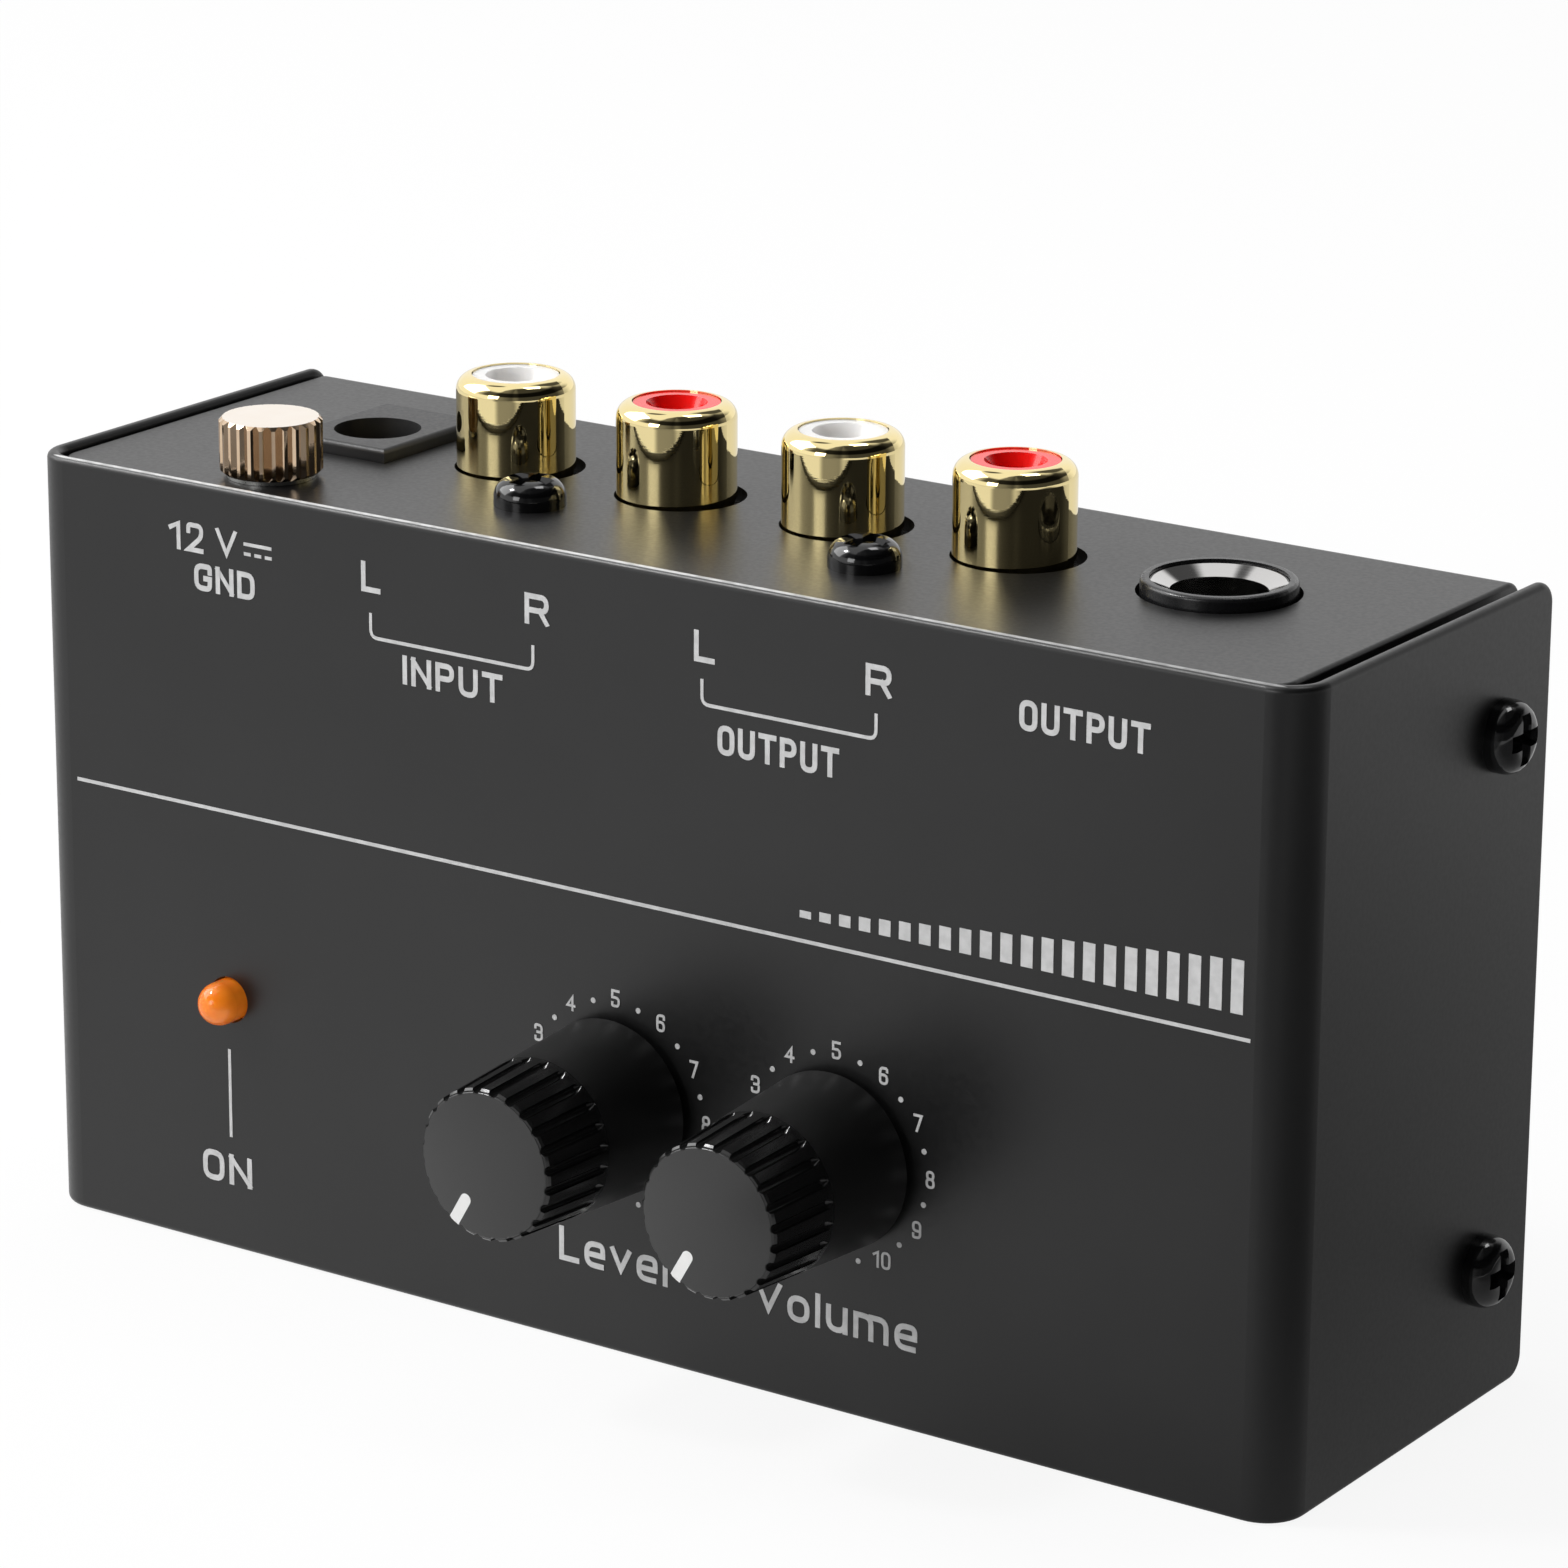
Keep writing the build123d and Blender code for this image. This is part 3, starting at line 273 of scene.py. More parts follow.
def make_finishes():
    """One material for each material slot of the record: its name, base colour and roughness, and the rest."""
    return {
        # the black paint's cut edge carries a painted highlight
        "black_paint": finish("black_paint", (0.007, 0.007, 0.0072), 0.36, grain=0.35, relief=0.003,
                              mottle=0.2, mottle_grain=9.0, rough_spread=0.03, painted_highlight=cut_edge, IOR=1.5),
        "black_screw": finish("black_screw", (0.005, 0.005, 0.0055), 0.08, grain=0.5, relief=0.004, IOR=1.6),
        "foot_rubber": finish("foot_rubber", (0.018, 0.018, 0.018), 0.75, grain=0.3, relief=0.02),
        "board": finish("board", (0.006, 0.075, 0.028), 0.35, grain=1.2, relief=0.01, Coat_Weight=0.4),
        "steel": finish("steel", (0.60, 0.60, 0.58), 0.30, metallic=1.0, grain=0.2),
        "black_plastic": finish("black_plastic", (0.010, 0.010, 0.011), 0.28, grain=0.3, relief=0.003),
        "inlet_plastic": finish("inlet_plastic", (0.022, 0.022, 0.023), 0.45, grain=0.3, relief=0.004),
        "pot_plastic": finish("pot_plastic", (0.03, 0.03, 0.035), 0.5, grain=0.3, relief=0.006),
        "gold_plate": turned_metal("gold_plate", (0.98, 0.82, 0.42), 0.03, relief=0.0008),
        "white_insulator": finish("white_insulator", (0.92, 0.90, 0.88), 0.22, mottle=0.03, relief=0.001,
                                  Subsurface_Weight=0.5, Subsurface_Scale=0.002,
                                  Subsurface_Radius=(1.0, 0.95, 0.9)),
        "red_insulator": finish("red_insulator", (0.92, 0.010, 0.008), 0.12, mottle=0.05, relief=0.001),
        "contact_metal": finish("contact_metal", (0.80, 0.66, 0.40), 0.25, metallic=1.0),
        "tinned_pin": finish("tinned_pin", (0.70, 0.70, 0.70), 0.35, metallic=1.0),
        "thumb_screw_plate": champagne_plate(),
        "bush_brass": turned_metal("bush_brass", (0.72, 0.58, 0.34), 0.25),
        "wire_insulation": finish("wire_insulation", (0.02, 0.02, 0.02), 0.5),
        "chrome": turned_metal("chrome", (0.66, 0.65, 0.64), 0.09),
        "shaft_metal": turned_metal("shaft_metal", (0.70, 0.70, 0.71), 0.3),
        "track_wafer": finish("track_wafer", (0.26, 0.12, 0.05), 0.55),
        "knob_plastic": knob_plastic(),
        "pointer_white": finish("pointer_white", (0.82, 0.82, 0.81), 0.35, mottle=0.05),
        "amber_lens": amber_lens(),
        "chip_epoxy": finish("chip_epoxy", (0.02, 0.02, 0.02), 0.5, grain=0.15, relief=0.006),
        "capacitor_sleeve": finish("capacitor_sleeve", (0.015, 0.015, 0.045), 0.25),
        "film_box": finish("film_box", (0.5, 0.06, 0.02), 0.3),
        "resistor_lacquer": finish("resistor_lacquer", (0.12, 0.26, 0.36), 0.4),
    }


def champagne_plate():
    """Pale gold plating: satin on faces that look along the screw's axis and glossy on the flutes, with a
    painted highlight making the faces paler and painted shade making the flutes darker.
    """
    # the flutes' tones carry painted shade and the faces' tones a painted highlight
    shaded_flute_tones = colour(0.66, 0.46, 0.30), colour(0.84, 0.66, 0.48)
    lit_face_tones = colour(0.93, 0.84, 0.74), colour(0.97, 0.90, 0.82)
    flute_rough, face_rough = 0.10, 0.30
    flat_from, flat_full = 0.8, 0.95              # upward share of a normal
    haze_grain, grain, relief = 1.5, 0.12, 0.0015
    material = bpy.data.materials.new("champagne_plate")
    tree = Tree(material)
    facing = tree.add("ShaderNodeSeparateXYZ", Vector=tree.add("ShaderNodeTexCoord").outputs["Normal"])
    flat = tree.spread(tree.maths("ABSOLUTE", facing.outputs["Z"]), 0.0, 1.0, flat_from, flat_full)
    haze = tree.noise(haze_grain, detail=3.0)
    # painted light and shade: paler tones on the axis-facing faces, darker on the flutes
    tone = tree.blend(flat, tree.blend(haze, *shaded_flute_tones), tree.blend(haze, *lit_face_tones))
    shader = tree.add("ShaderNodeBsdfPrincipled", Base_Color=tone, Metallic=1.0,
                      Roughness=tree.spread(flat, flute_rough, face_rough),
                      Normal=tree.relief(tree.noise(grain), relief))
    tree.add("ShaderNodeOutputMaterial", Surface=shader.outputs[0])
    return material


def amber_lens():
    """Diffused amber epoxy, deeper in colour where it is seen edge on."""
    body_tones = colour(0.80, 0.19, 0.010), colour(0.95, 0.27, 0.018)
    edge_tone = colour(0.42, 0.07, 0.004)
    glow, cloudiness, depth = 0.25, 0.4, 0.0008   # depth is in metres
    edge_blend, cloud_grain, roughness = 0.35, 0.9, 0.12
    material = bpy.data.materials.new("amber_lens")
    tree = Tree(material)
    edge = tree.add("ShaderNodeLayerWeight", Blend=edge_blend).outputs["Facing"]
    body = tree.blend(tree.noise(cloud_grain, detail=3.0), *body_tones)
    tone = tree.blend(edge, body, edge_tone)
    shader = tree.add("ShaderNodeBsdfPrincipled", Base_Color=tone, Roughness=roughness, Emission_Color=tone,
                      Emission_Strength=glow, Subsurface_Weight=cloudiness, Subsurface_Scale=depth)
    tree.add("ShaderNodeOutputMaterial", Surface=shader.outputs[0])
    return material


def dress_nodes(finishes):
    """Give every CAD node the finish of its material slot.

    The board's standoffs are painted with the plate that holds them.
    """
    for row in frame["record"]["subparts"]:
        painted = row["node"] == "board_standoffs"
        mesh = nodes[row["node"]].data
        mesh.materials.clear()
        mesh.materials.append(finishes["black_paint" if painted else row["material_slot"]])


# ------------------------------------------------------------------ print on the control face
# A word's place is its left, right, bottom and top.
ROUND = 0.34                          # corner rounding of curved letters, of the capital height
BAR = 0.46                            # height of the middle bars
LOW_TOP = 0.74                        # height of the small letters


def glyph_table():
    """Letters as a width and strokes: points (across, up) in a unit box, each with its own rounding if any.

    A stroke that starts with "ring" is closed.
    """
    r = ROUND
    ring = ["ring", (0, 0, r), (1, 0, r), (1, 1, r), (0, 1, r)]
    bowl = [(0, 0), (0, 1), (1, 1, r), (1, BAR, r), (0, BAR)]
    small = LOW_TOP
    return {
        "I": (0.0, [[(0, 0), (0, 1)]]),
        "N": (0.62, [[(0, 0), (0, 1)], [(0, 1), (1, 0)], [(1, 0), (1, 1)]]),
        "P": (0.56, [bowl]),
        "R": (0.58, [bowl, [(0.66, BAR), (1, 0)]]),
        "U": (0.58, [[(0, 1), (0, 0, r), (1, 0, r), (1, 1)]]),
        "T": (0.62, [[(0, 1), (1, 1)], [(0.5, 1), (0.5, 0)]]),
        "O": (0.58, [ring]),
        "G": (0.62, [[(1, 0.76), (1, 1, r), (0, 1, r), (0, 0, r), (1, 0, r), (1, BAR), (0.68, BAR)]]),
        "D": (0.60, [["ring", (0, 0), (1, 0, r), (1, 1, r), (0, 1)]]),
        "L": (0.50, [[(0, 1), (0, 0), (1, 0)]]),
        "V": (0.66, [[(0, 1), (0.5, 0.06), (1, 1)]]),
        "e": (0.52, [[(0, small / 2), (1, small / 2), (1, small, r), (0, small, r), (0, 0, r), (0.92, 0)]]),
        "v": (0.52, [[(0, small), (0.5, 0.06), (1, small)]]),
        "l": (0.0, [[(0, 0), (0, 1)]]),
        "o": (0.52, [["ring", (0, 0, r), (1, 0, r), (1, small, r), (0, small, r)]]),
        "u": (0.50, [[(0, small), (0, 0, r), (1, 0, r), (1, small)], [(1, small), (1, 0)]]),
        "m": (0.90, [[(0, 0), (0, small)], [(0, small), (0.5, small, r), (0.5, 0)],
                     [(0.5, small), (1, small, r), (1, 0)]]),
        "0": (0.52, [ring]),
        "1": (0.30, [[(0, 0.78), (1, 1), (1, 0)]]),
        "2": (0.50, [[(0, 0.74), (0, 1, r), (1, 1, r), (1, 0.56, r), (0, 0), (1, 0)]]),
        "3": (0.50, [[(0, 0.80), (0, 1, r), (1, 1, r), (1, 0.53, r), (0.35, 0.53)],
                     [(0.35, 0.53), (1, 0.53, r), (1, 0, r), (0, 0, r), (0, 0.2)]]),
        "4": (0.56, [[(0.72, 0), (0.72, 1), (0, 0.28), (1, 0.28)]]),
        "5": (0.50, [[(0.95, 1), (0, 1), (0, 0.56), (1, 0.56, r), (1, 0, r), (0, 0, r), (0, 0.2)]]),
        "6": (0.50, [[(1, 0.80), (1, 1, r), (0, 1, r), (0, 0, r), (1, 0, r), (1, 0.56, r), (0, 0.56)]]),
        "7": (0.50, [[(0, 1), (1, 1), (0.35, 0)]]),
        "8": (0.50, [["ring", (0, 0, r), (1, 0, r), (1, 0.53, r), (0, 0.53, r)],
                     ["ring", (0.06, 0.53, r), (0.94, 0.53, r), (0.94, 1, r), (0.06, 1, r)]]),
        "9": (0.50, [[(0, 0.2), (0, 0, r), (1, 0, r), (1, 1, r), (0, 1, r), (0, 0.44, r), (1, 0.44)]]),
    }


GLYPHS = glyph_table()
LETTER_GAP = 0.17                     # between letters, of the capital height
INK = 0.02                            # least thickness of the print
INK_STEP = 0.004                      # each stroke lies this much above the one before
INK_LAYERS = 5                        # after this many strokes the steps start again
INK_RISE = 0.0004                     # a stroke's rise from point to point, so that it can cross itself
INK_ROOT = 0.01                       # how far it reaches into the paint
CLOSE = 0.01                          # points nearer than this are one
ARC_STEPS = 5                         # straight pieces in a rounded corner
SHARPEST = 0.25                       # a mitre reaches at most half a width divided by this
NO_LIMIT = 1e9                        # a height that no stroke reaches
LETTER_LINE = 0.38                    # width of the strokes of the sockets' words
FINE_LINE = 0.24                      # width of brackets and signs
FACE_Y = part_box("front_cover")[0].y / MM


def rounded(points, closed):
    """Points (x, z) or (x, z, radius) with each radius drawn as a short curve."""
    out = []
    count = len(points)
    for k, point in enumerate(points):
        here = Vector(point[:2])
        radius = point[2] if len(point) > 2 else 0.0
        end = not closed and k in (0, count - 1)
        if end or radius == 0:
            out.append(here)
            continue
        before, after = (Vector(points[(k + step) % count][:2]) for step in (-1, 1))
        reach = min(radius, (before - here).length * 0.5, (after - here).length * 0.5)
        start = here + (before - here).normalized() * reach
        stop = here + (after - here).normalized() * reach
        for step in range(ARC_STEPS + 1):
            t = step / ARC_STEPS
            out.append(start * (1 - t) ** 2 + here * 2 * t * (1 - t) + stop * t ** 2)
    kept = [point for k, point in enumerate(out) if k == 0 or (point - out[k - 1]).length > CLOSE]
    return kept[:-1] if closed and (kept[0] - kept[-1]).length < CLOSE else kept


def side_points(points, width, closed):
    """Left and right edges of a ribbon along the points, with mitred corners and ends half a width longer."""
    count = len(points)
    if not closed:
        points = list(points)
        points[0] = points[0] - (points[1] - points[0]).normalized() * width / 2
        points[-1] = points[-1] + (points[-1] - points[-2]).normalized() * width / 2
    left, right = [], []
    for k, here in enumerate(points):
        before = points[k - 1] if closed or k else None
        after = points[(k + 1) % count] if closed or k < count - 1 else None
        steps = [(a, b) for a, b in ((before, here), (here, after)) if a is not None and b is not None]
        headings = [(b - a).normalized() for a, b in steps]
        normals = [Vector((-h.y, h.x)) for h in headings]
        middle = sum(normals, Vector((0, 0))).normalized()
        reach = width / 2 / max(middle.dot(normals[0]), SHARPEST)
        left.append(here + middle * reach)
        right.append(here - middle * reach)
    return left, right


class Print:
    """Flat ink shapes on the control face, gathered into one mesh."""

    def __init__(self):
        self.mesh = bmesh.new()
        self.count = 0

    def next_face(self):
        """Height of the next shape's face, which differs from the last one's so that no two coincide."""
        self.count = (self.count + 1) % INK_LAYERS
        return FACE_Y - INK - self.count * INK_STEP

    def edge(self, point, face, low, high):
        """A ribbon edge's vertices on the ink's face and inside the paint."""
        x, z = point.x, min(max(point.y, low), high)
        return [self.mesh.verts.new((x * MM, y * MM, z * MM)) for y in (face, FACE_Y + INK_ROOT)]

    def stroke(self, points, width, closed=False, low=-NO_LIMIT, high=NO_LIMIT):
        """A ribbon of ink of that width along rounded points, kept between two heights."""
        left, right = side_points(rounded(points, closed), width, closed)
        face = self.next_face()
        rows = [self.edge(a, face - k * INK_RISE, low, high) + self.edge(b, face - k * INK_RISE, low, high)
                for k, (a, b) in enumerate(zip(left, right))]
        pairs = list(zip(rows, rows[1:] + rows[:1])) if closed else list(zip(rows, rows[1:]))
        for (a, a_back, b, b_back), (c, c_back, d, d_back) in pairs:
            for corners in ((a, b, d, c), (a_back, c_back, d_back, b_back), (a, c, c_back, a_back),
                            (b, b_back, d_back, d)):
                self.mesh.faces.new(corners)
        if not closed:
            for a, a_back, b, b_back in (rows[0], rows[-1]):
                self.mesh.faces.new((a, a_back, b_back, b))

    def plate(self, corners):
        """A flat ink shape with straight sides."""
        face = self.next_face()
        front = [self.mesh.verts.new((x * MM, face * MM, z * MM)) for x, z in corners]
        back = [self.mesh.verts.new((x * MM, (FACE_Y + INK_ROOT) * MM, z * MM)) for x, z in corners]
        self.mesh.faces.new(front)
        self.mesh.faces.new(back[::-1])
        for k in range(len(corners)):
            self.mesh.faces.new((front[k - 1], back[k - 1], back[k], front[k]))

    def bar(self, x0, x1, z0, z1):
        self.plate([(x0, z0), (x1, z0), (x1, z1), (x0, z1)])

    def dot(self, x, z, radius, sides=14):
        self.plate([(x + radius * cos(2 * pi * k / sides), z + radius * sin(2 * pi * k / sides))
                    for k in range(sides)])

    def write(self, text, x0, x1, z0, z1, width, gap=LETTER_GAP):
        """Letters between two heights, spread so that they fill the length from x0 to x1."""
        height = z1 - z0 - width
        shares = [0.0 if letter == " " else GLYPHS[letter][0] for letter in text]
        fixed = sum(width for letter in text if letter != " ")
        gaps = gap * (len(text) - 1)
        scale = (x1 - x0 - fixed) / (sum(shares) + gaps)
        x = x0
        for letter, share in zip(text, shares):
            if letter != " ":
                self.letter(letter, x + width / 2, share * scale, z0, height, width)
                x += width
            x += (share + gap) * scale

    def letter(self, letter, x, across, z0, height, width):
        """One letter from x on, with the middles of its strokes spread over that width and height."""
        base = z0 + width / 2
        for stroke in GLYPHS[letter][1]:
            closed = stroke[0] == "ring"
            points = [(x + p[0] * across, base + p[1] * height, *(radius * height for radius in p[2:]))
                      for p in stroke[closed:]]
            self.stroke(points, width, closed, z0, z0 + height + width)

    def centred(self, text, x, z, height, width):
        """Letters of their natural proportions about a point."""
        tall = height - width
        letters = sum(GLYPHS[letter][0] * tall + width for letter in text)
        length = letters + LETTER_GAP * tall * (len(text) - 1)
        self.write(text, x - length / 2, x + length / 2, z - height / 2, z + height / 2, width)

    def done(self, name, material):
        """Make the shapes so far one piece of the case."""
        bmesh.ops.recalc_face_normals(self.mesh, faces=self.mesh.faces)
        data = bpy.data.meshes.new(name)
        self.mesh.to_mesh(data)
        self.mesh.free()
        data.materials.append(material)
        piece = bpy.data.objects.new(name, data)
        scene.collection.objects.link(piece)
        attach(piece, "case")


def centre_of(node):
    """Middle of a CAD node's box, in millimetres."""
    low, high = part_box(node)
    return (low + high) / 2 / MM


def make_ink():
    """The pale grey of the print, a little uneven."""
    return finish("print_ink", (0.60, 0.60, 0.60), 0.5, mottle=0.16, mottle_grain=0.9, grain=0.12,
                  relief=0.004, rough_spread=0.06)


def print_power(ink):
    """The inlet's voltage with the direct-current sign, and the thumb screw's word."""
    voltage, ground = (-38.95, -32.9, 51.05, 53.15), (-36.75, -31.4, 48.4, 50.35)    # words' places
    voltage_line, voltage_gap = LETTER_LINE - 0.04, 0.24
    sign_x, dash, step, dashes = -32.3, 0.6, 0.925, 3
    solid, solid_z, dashed_z, half = (dashes - 1) * step + dash, 52.35, 51.65, FINE_LINE / 2
    work = Print()
    work.write("12 V", *voltage, voltage_line, gap=voltage_gap)
    work.bar(sign_x, sign_x + solid, solid_z - half, solid_z + half)
    for k in range(dashes):
        start = sign_x + k * step
        work.bar(start, start + dash, dashed_z - half, dashed_z + half)
    work.write("GND", *ground, LETTER_LINE)
    work.done("power_words", ink)


def print_jack_pair(name, centre, left, right, bottom, top, word, place, ink):
    """L and R under a pair of jacks, which start at left and right, their bracket and their word."""
    left_length, right_length = 1.65, 2.0
    reach, bracket_top, bracket_bottom, turn = 6.85, 49.1, 47.5, 0.6
    work = Print()
    work.write("L", left, left + left_length, bottom, top, LETTER_LINE)
    work.write("R", right, right + right_length, bottom, top, LETTER_LINE)
    work.stroke([(centre - reach, bracket_top), (centre - reach, bracket_bottom, turn),
                 (centre + reach, bracket_bottom, turn), (centre + reach, bracket_top)], FINE_LINE)
    work.write(word, *place, LETTER_LINE)
    work.done(f"{name}_words", ink)


def print_sockets(ink):
    """Words and signs under the connector panel's sockets."""
    input_word, output_word = (-18.65, -10.2, 44.65, 46.7), (7.4, 17.0, 44.3, 46.35)
    phone_word = (30.7, 40.4, 50.05, 52.1)
    print_power(ink)
    print_jack_pair("input", -14.48, -22.1, -8.3, 50.65, 52.8, "INPUT", input_word, ink)
    print_jack_pair("output", 13.0, 5.5, 19.0, 50.35, 52.5, "OUTPUT", output_word, ink)
    work = Print()
    work.write("OUTPUT", *phone_word, LETTER_LINE)
    work.done("phone_word", ink)


def print_dividing_line(ink):
    """The long line, and a plain rising row of bars above its right end."""
    line_left, line_right, line_z, line_width = -47.9, 48.2, 32.7, 0.26
    work = Print()
    work.bar(line_left, line_right, line_z - line_width / 2, line_z + line_width / 2)
    work.done("long_line", ink)

    work = Print()
    first, last, count, wide = 14.0, 47.6, 22, 0.9
    base, lowest, tallest = 34.3, 0.5, 3.6
    for k in range(count):
        share = k / (count - 1)
        x = first + (last - first - wide) * share
        work.bar(x, x + wide, base, base + lowest + (tallest - lowest) * share)
    work.done("bar_row", ink)


def print_lamp_words(ink):
    """The short line from the lamp down to its word."""
    line_left, line_right, line_bottom, line_top = -0.15, 0.1, 8.5, 15.1    # the first two from the lamp
    word, word_line = (-37.15, -32.7, 4.9, 7.2), 0.42
    work = Print()
    lamp = centre_of("lamp_lens")
    work.bar(lamp.x + line_left, lamp.x + line_right, line_bottom, line_top)
    work.write("ON", *word, word_line)
    work.done("lamp_words", ink)


def print_dial(name, word, place, ink):
    """A scale from 0 to 10 with dots between its numbers, and the dial's word below at its place."""
    zero, apart, numbers = -150, 30, 11           # degrees clockwise from the top
    number_radius, number_height, number_line = 7.45, 1.25, 0.18
    dot_radius, dot_size, word_line = 7.2, 0.2, 0.40
    axis = centre_of(f"{name}_shaft")
    work = Print()
    for number in range(numbers):
        turn = radians(zero + apart * number)
        x, z = axis.x + number_radius * sin(turn), axis.z + number_radius * cos(turn)
        work.centred(str(number), x, z, number_height, number_line)
    for step in range(numbers + 1):
        turn = radians(zero - apart / 2 + apart * step)
        work.dot(axis.x + dot_radius * sin(turn), axis.z + dot_radius * cos(turn), dot_size)
    work.write(word, *place, word_line)
    work.done(f"{name}_scale", ink)


# ------------------------------------------------------------------ studio, in metres
SUBJECT = (0, 0, 0.03)                # where the lamps point


def lamp(name, place, size, watts):
    """Square soft lamp that points at the object."""
    data = bpy.data.lights.new(name, "AREA")
    data.shape, data.size, data.energy = "SQUARE", size, watts
    light = bpy.data.objects.new(name, data)
    scene.collection.objects.link(light)
    light.location = place
    light.rotation_euler = (Vector(SUBJECT) - Vector(place)).to_track_quat("-Z", "Y").to_euler()


def unit_vector(tree, vector):
    node = tree.add("ShaderNodeVectorMath", {"operation": "NORMALIZE"})
    tree.feed(node, "0", vector)
    return node.outputs[0]


def heading_share(tree, flat, angle):
    """How far a level direction agrees with the heading at that many degrees from +X."""
    return tree.agreement(flat, (cos(radians(angle)), sin(radians(angle)), 0.0))


def front_bar(tree, unit):
    """The darker strip in front of the object, where nothing is lit."""
    heading, inner, outer, dark = -77, 13, 25, 0.2
    return tree.spread(heading_share(tree, unit, heading), 1.0, dark, cos(radians(outer)), cos(radians(inner)))


def unlit_spot(tree, heading, direction, inner, outer):
    """A dark round spot of the studio about a direction, with its inner and outer half angles."""
    dark = 0.08
    share = tree.agreement(heading, Vector(direction).normalized())
    return tree.spread(share, 1.0, dark, cos(radians(outer)), cos(radians(inner)))


def room_light(tree):
    """Brightness of the studio's walls: white, unlit to the right and in a belt above the camera's height.

    The belt stays lit behind the object's left, and two round spots above are unlit.
    """
    right_heading, right_dark, right_from, right_full = -5, 0.05, 0.1, 0.8
    belt_dark, belt_bottom, belt_top = 0.08, (0.32, 0.42), (0.72, 0.85)
    lit_heading, lit_from, lit_full = 150, -0.1, 0.5
    behind_above, left_above = ((-0.02, 0.66, 0.75), 9, 17), ((-0.44, 0.185, 0.88), 4, 9)
    heading = tree.add("ShaderNodeTexCoord").outputs["Generated"]
    level = tree.add("ShaderNodeVectorMath", {"operation": "MULTIPLY"})
    tree.feed(level, "0", heading)
    level.inputs[1].default_value = (1.0, 1.0, 0.0)
    unit = unit_vector(tree, level.outputs[0])
    height = tree.add("ShaderNodeSeparateXYZ", Vector=heading).outputs["Z"]
    right = tree.spread(heading_share(tree, unit, right_heading), 1.0, right_dark, right_from, right_full)
    belt = tree.maths("MAXIMUM", tree.spread(height, 1.0, belt_dark, *belt_bottom),
                      tree.spread(height, belt_dark, 1.0, *belt_top))
    behind = tree.spread(heading_share(tree, unit, lit_heading), 0.0, 1.0, lit_from, lit_full)
    walls = tree.maths("MULTIPLY", right, tree.maths("MAXIMUM", belt, behind))
    spots = tree.maths("MULTIPLY", unlit_spot(tree, heading, *behind_above),
                       unlit_spot(tree, heading, *left_above))
    return tree.maths("MULTIPLY", tree.maths("MULTIPLY", walls, spots), front_bar(tree, unit))


def make_world():
    """White to the camera, and to everything else a studio with an unlit side."""
    world = bpy.data.worlds.new("studio")
    scene.world = world
    tree = Tree(world)
    paths = tree.add("ShaderNodeLightPath")
    plain = tree.maths("MAXIMUM", paths.outputs["Is Camera Ray"], paths.outputs["Is Transmission Ray"])
    strength = tree.maths("MAXIMUM", plain, room_light(tree))
    background = tree.add("ShaderNodeBackground", Color=grey(1.0), Strength=strength)
    tree.add("ShaderNodeOutputWorld", Surface=background.outputs[0])


def floor_light(tree):
    """Brightness of the floor in gloss: white, with an unlit patch that starts right of the object.

    The front bar sets in away from the object, and the whole floor grows a little darker with distance.
    """
    patch_x, patch_y, stretch = 0.21, -0.02, 0.3  # the patch is drawn out to the right
    patch_dark, patch_full, patch_end = 0.05, 0.10, 0.25
    bar_from, bar_full = 0.06, 0.14
    far_tone, fall_from, fall_to = 0.8, 0.05, 0.24
    place = tree.add("ShaderNodeSeparateXYZ", Vector=tree.place())
    across = tree.maths("SUBTRACT", place.outputs["X"], patch_x)
    across = tree.maths("MINIMUM", across, tree.maths("MULTIPLY", across, stretch))
    along = tree.maths("SUBTRACT", place.outputs["Y"], patch_y)
    away = tree.length(tree.add("ShaderNodeCombineXYZ", X=across, Y=along).outputs[0])
    patch = tree.spread(away, patch_dark, 1.0, patch_full, patch_end)
    reach = tree.length(tree.place())
    near = tree.spread(reach, 1.0, 0.0, bar_from, bar_full)
    bar = tree.maths("MAXIMUM", front_bar(tree, unit_vector(tree, tree.place())), near)
    fall = tree.spread(reach, 1.0, far_tone, fall_from, fall_to)
    return tree.maths("MULTIPLY", patch, tree.maths("MULTIPLY", bar, fall))


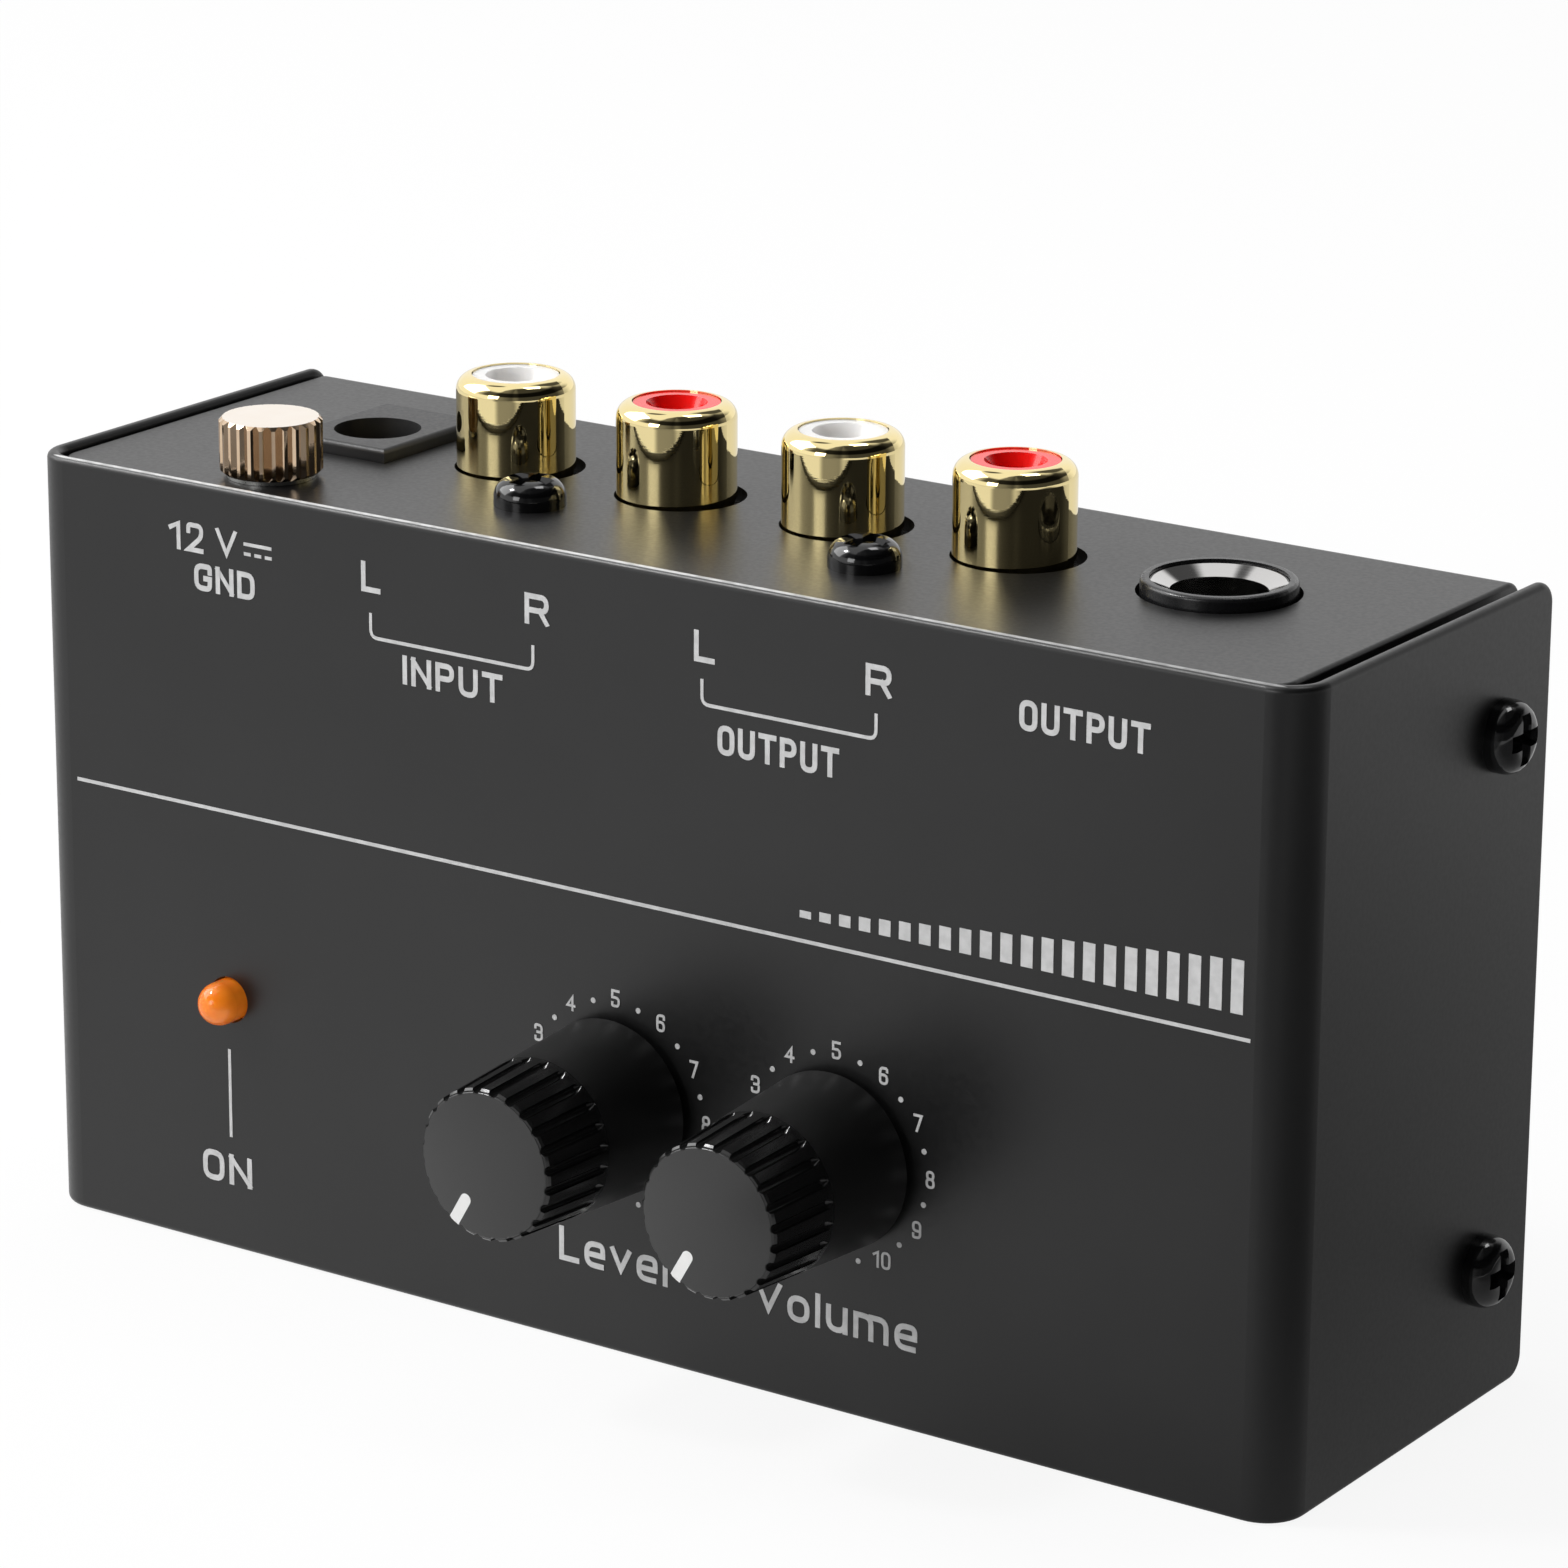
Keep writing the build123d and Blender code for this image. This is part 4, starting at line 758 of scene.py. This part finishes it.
def make_floor():
    """Large pale floor that keeps a soft shadow of the object."""
    half, mottle_grain, dark, pale = 4.0, 400.0, grey(0.86), grey(0.88)
    for_camera, for_gloss = 0.90, 0.88            # share of plain light that each of them sees
    corners = [(-half, -half, 0), (half, -half, 0), (half, half, 0), (-half, half, 0)]
    data = bpy.data.meshes.new("floor")
    data.from_pydata(corners, [], [(0, 1, 2, 3)])
    floor = bpy.data.objects.new("floor", data)
    scene.collection.objects.link(floor)
    material = bpy.data.materials.new("floor")
    tree = Tree(material)
    tone = tree.blend(tree.noise(mottle_grain), dark, pale)
    matt = tree.add("ShaderNodeBsdfDiffuse", Color=tone)
    paths = tree.add("ShaderNodeLightPath")
    camera = paths.outputs["Is Camera Ray"]
    strength = tree.maths("MAXIMUM", camera, floor_light(tree))
    shine = tree.add("ShaderNodeEmission", Color=grey(1.0), Strength=strength)
    share = tree.maths("MAXIMUM", tree.maths("MULTIPLY", camera, for_camera),
                       tree.maths("MULTIPLY", paths.outputs["Is Glossy Ray"], for_gloss))
    mixed = tree.add("ShaderNodeMixShader")
    tree.feed(mixed, "0", share)
    tree.feed(mixed, "1", matt.outputs[0])
    tree.feed(mixed, "2", shine.outputs[0])
    tree.add("ShaderNodeOutputMaterial", Surface=mixed.outputs[0])
    data.materials.append(material)


def make_lights():
    lamp("soft_box", (-0.72, -0.22, 0.62), size=0.70, watts=5.0)
    lamp("spark", (-0.52, -0.33, 0.78), size=0.14, watts=3.0)
    lamp("front_box", (-0.17, -0.95, 0.33), size=0.36, watts=1.6)
    lamp("top_box", (0.12, 0.25, 0.95), size=0.25, watts=1.0)


# ------------------------------------------------------------------ put together
make_camera()
make_world()
make_floor()
make_lights()
dress_nodes(make_finishes())
ink = make_ink()
print_sockets(ink)
print_dividing_line(ink)
print_lamp_words(ink)
print_dial("level", "Level", (-5.7, 3.4, 5.8, 8.3), ink)
print_dial("volume", "Volume", (10.6, 23.6, 5.75, 8.2), ink)

scene.view_settings.view_transform = "Standard"
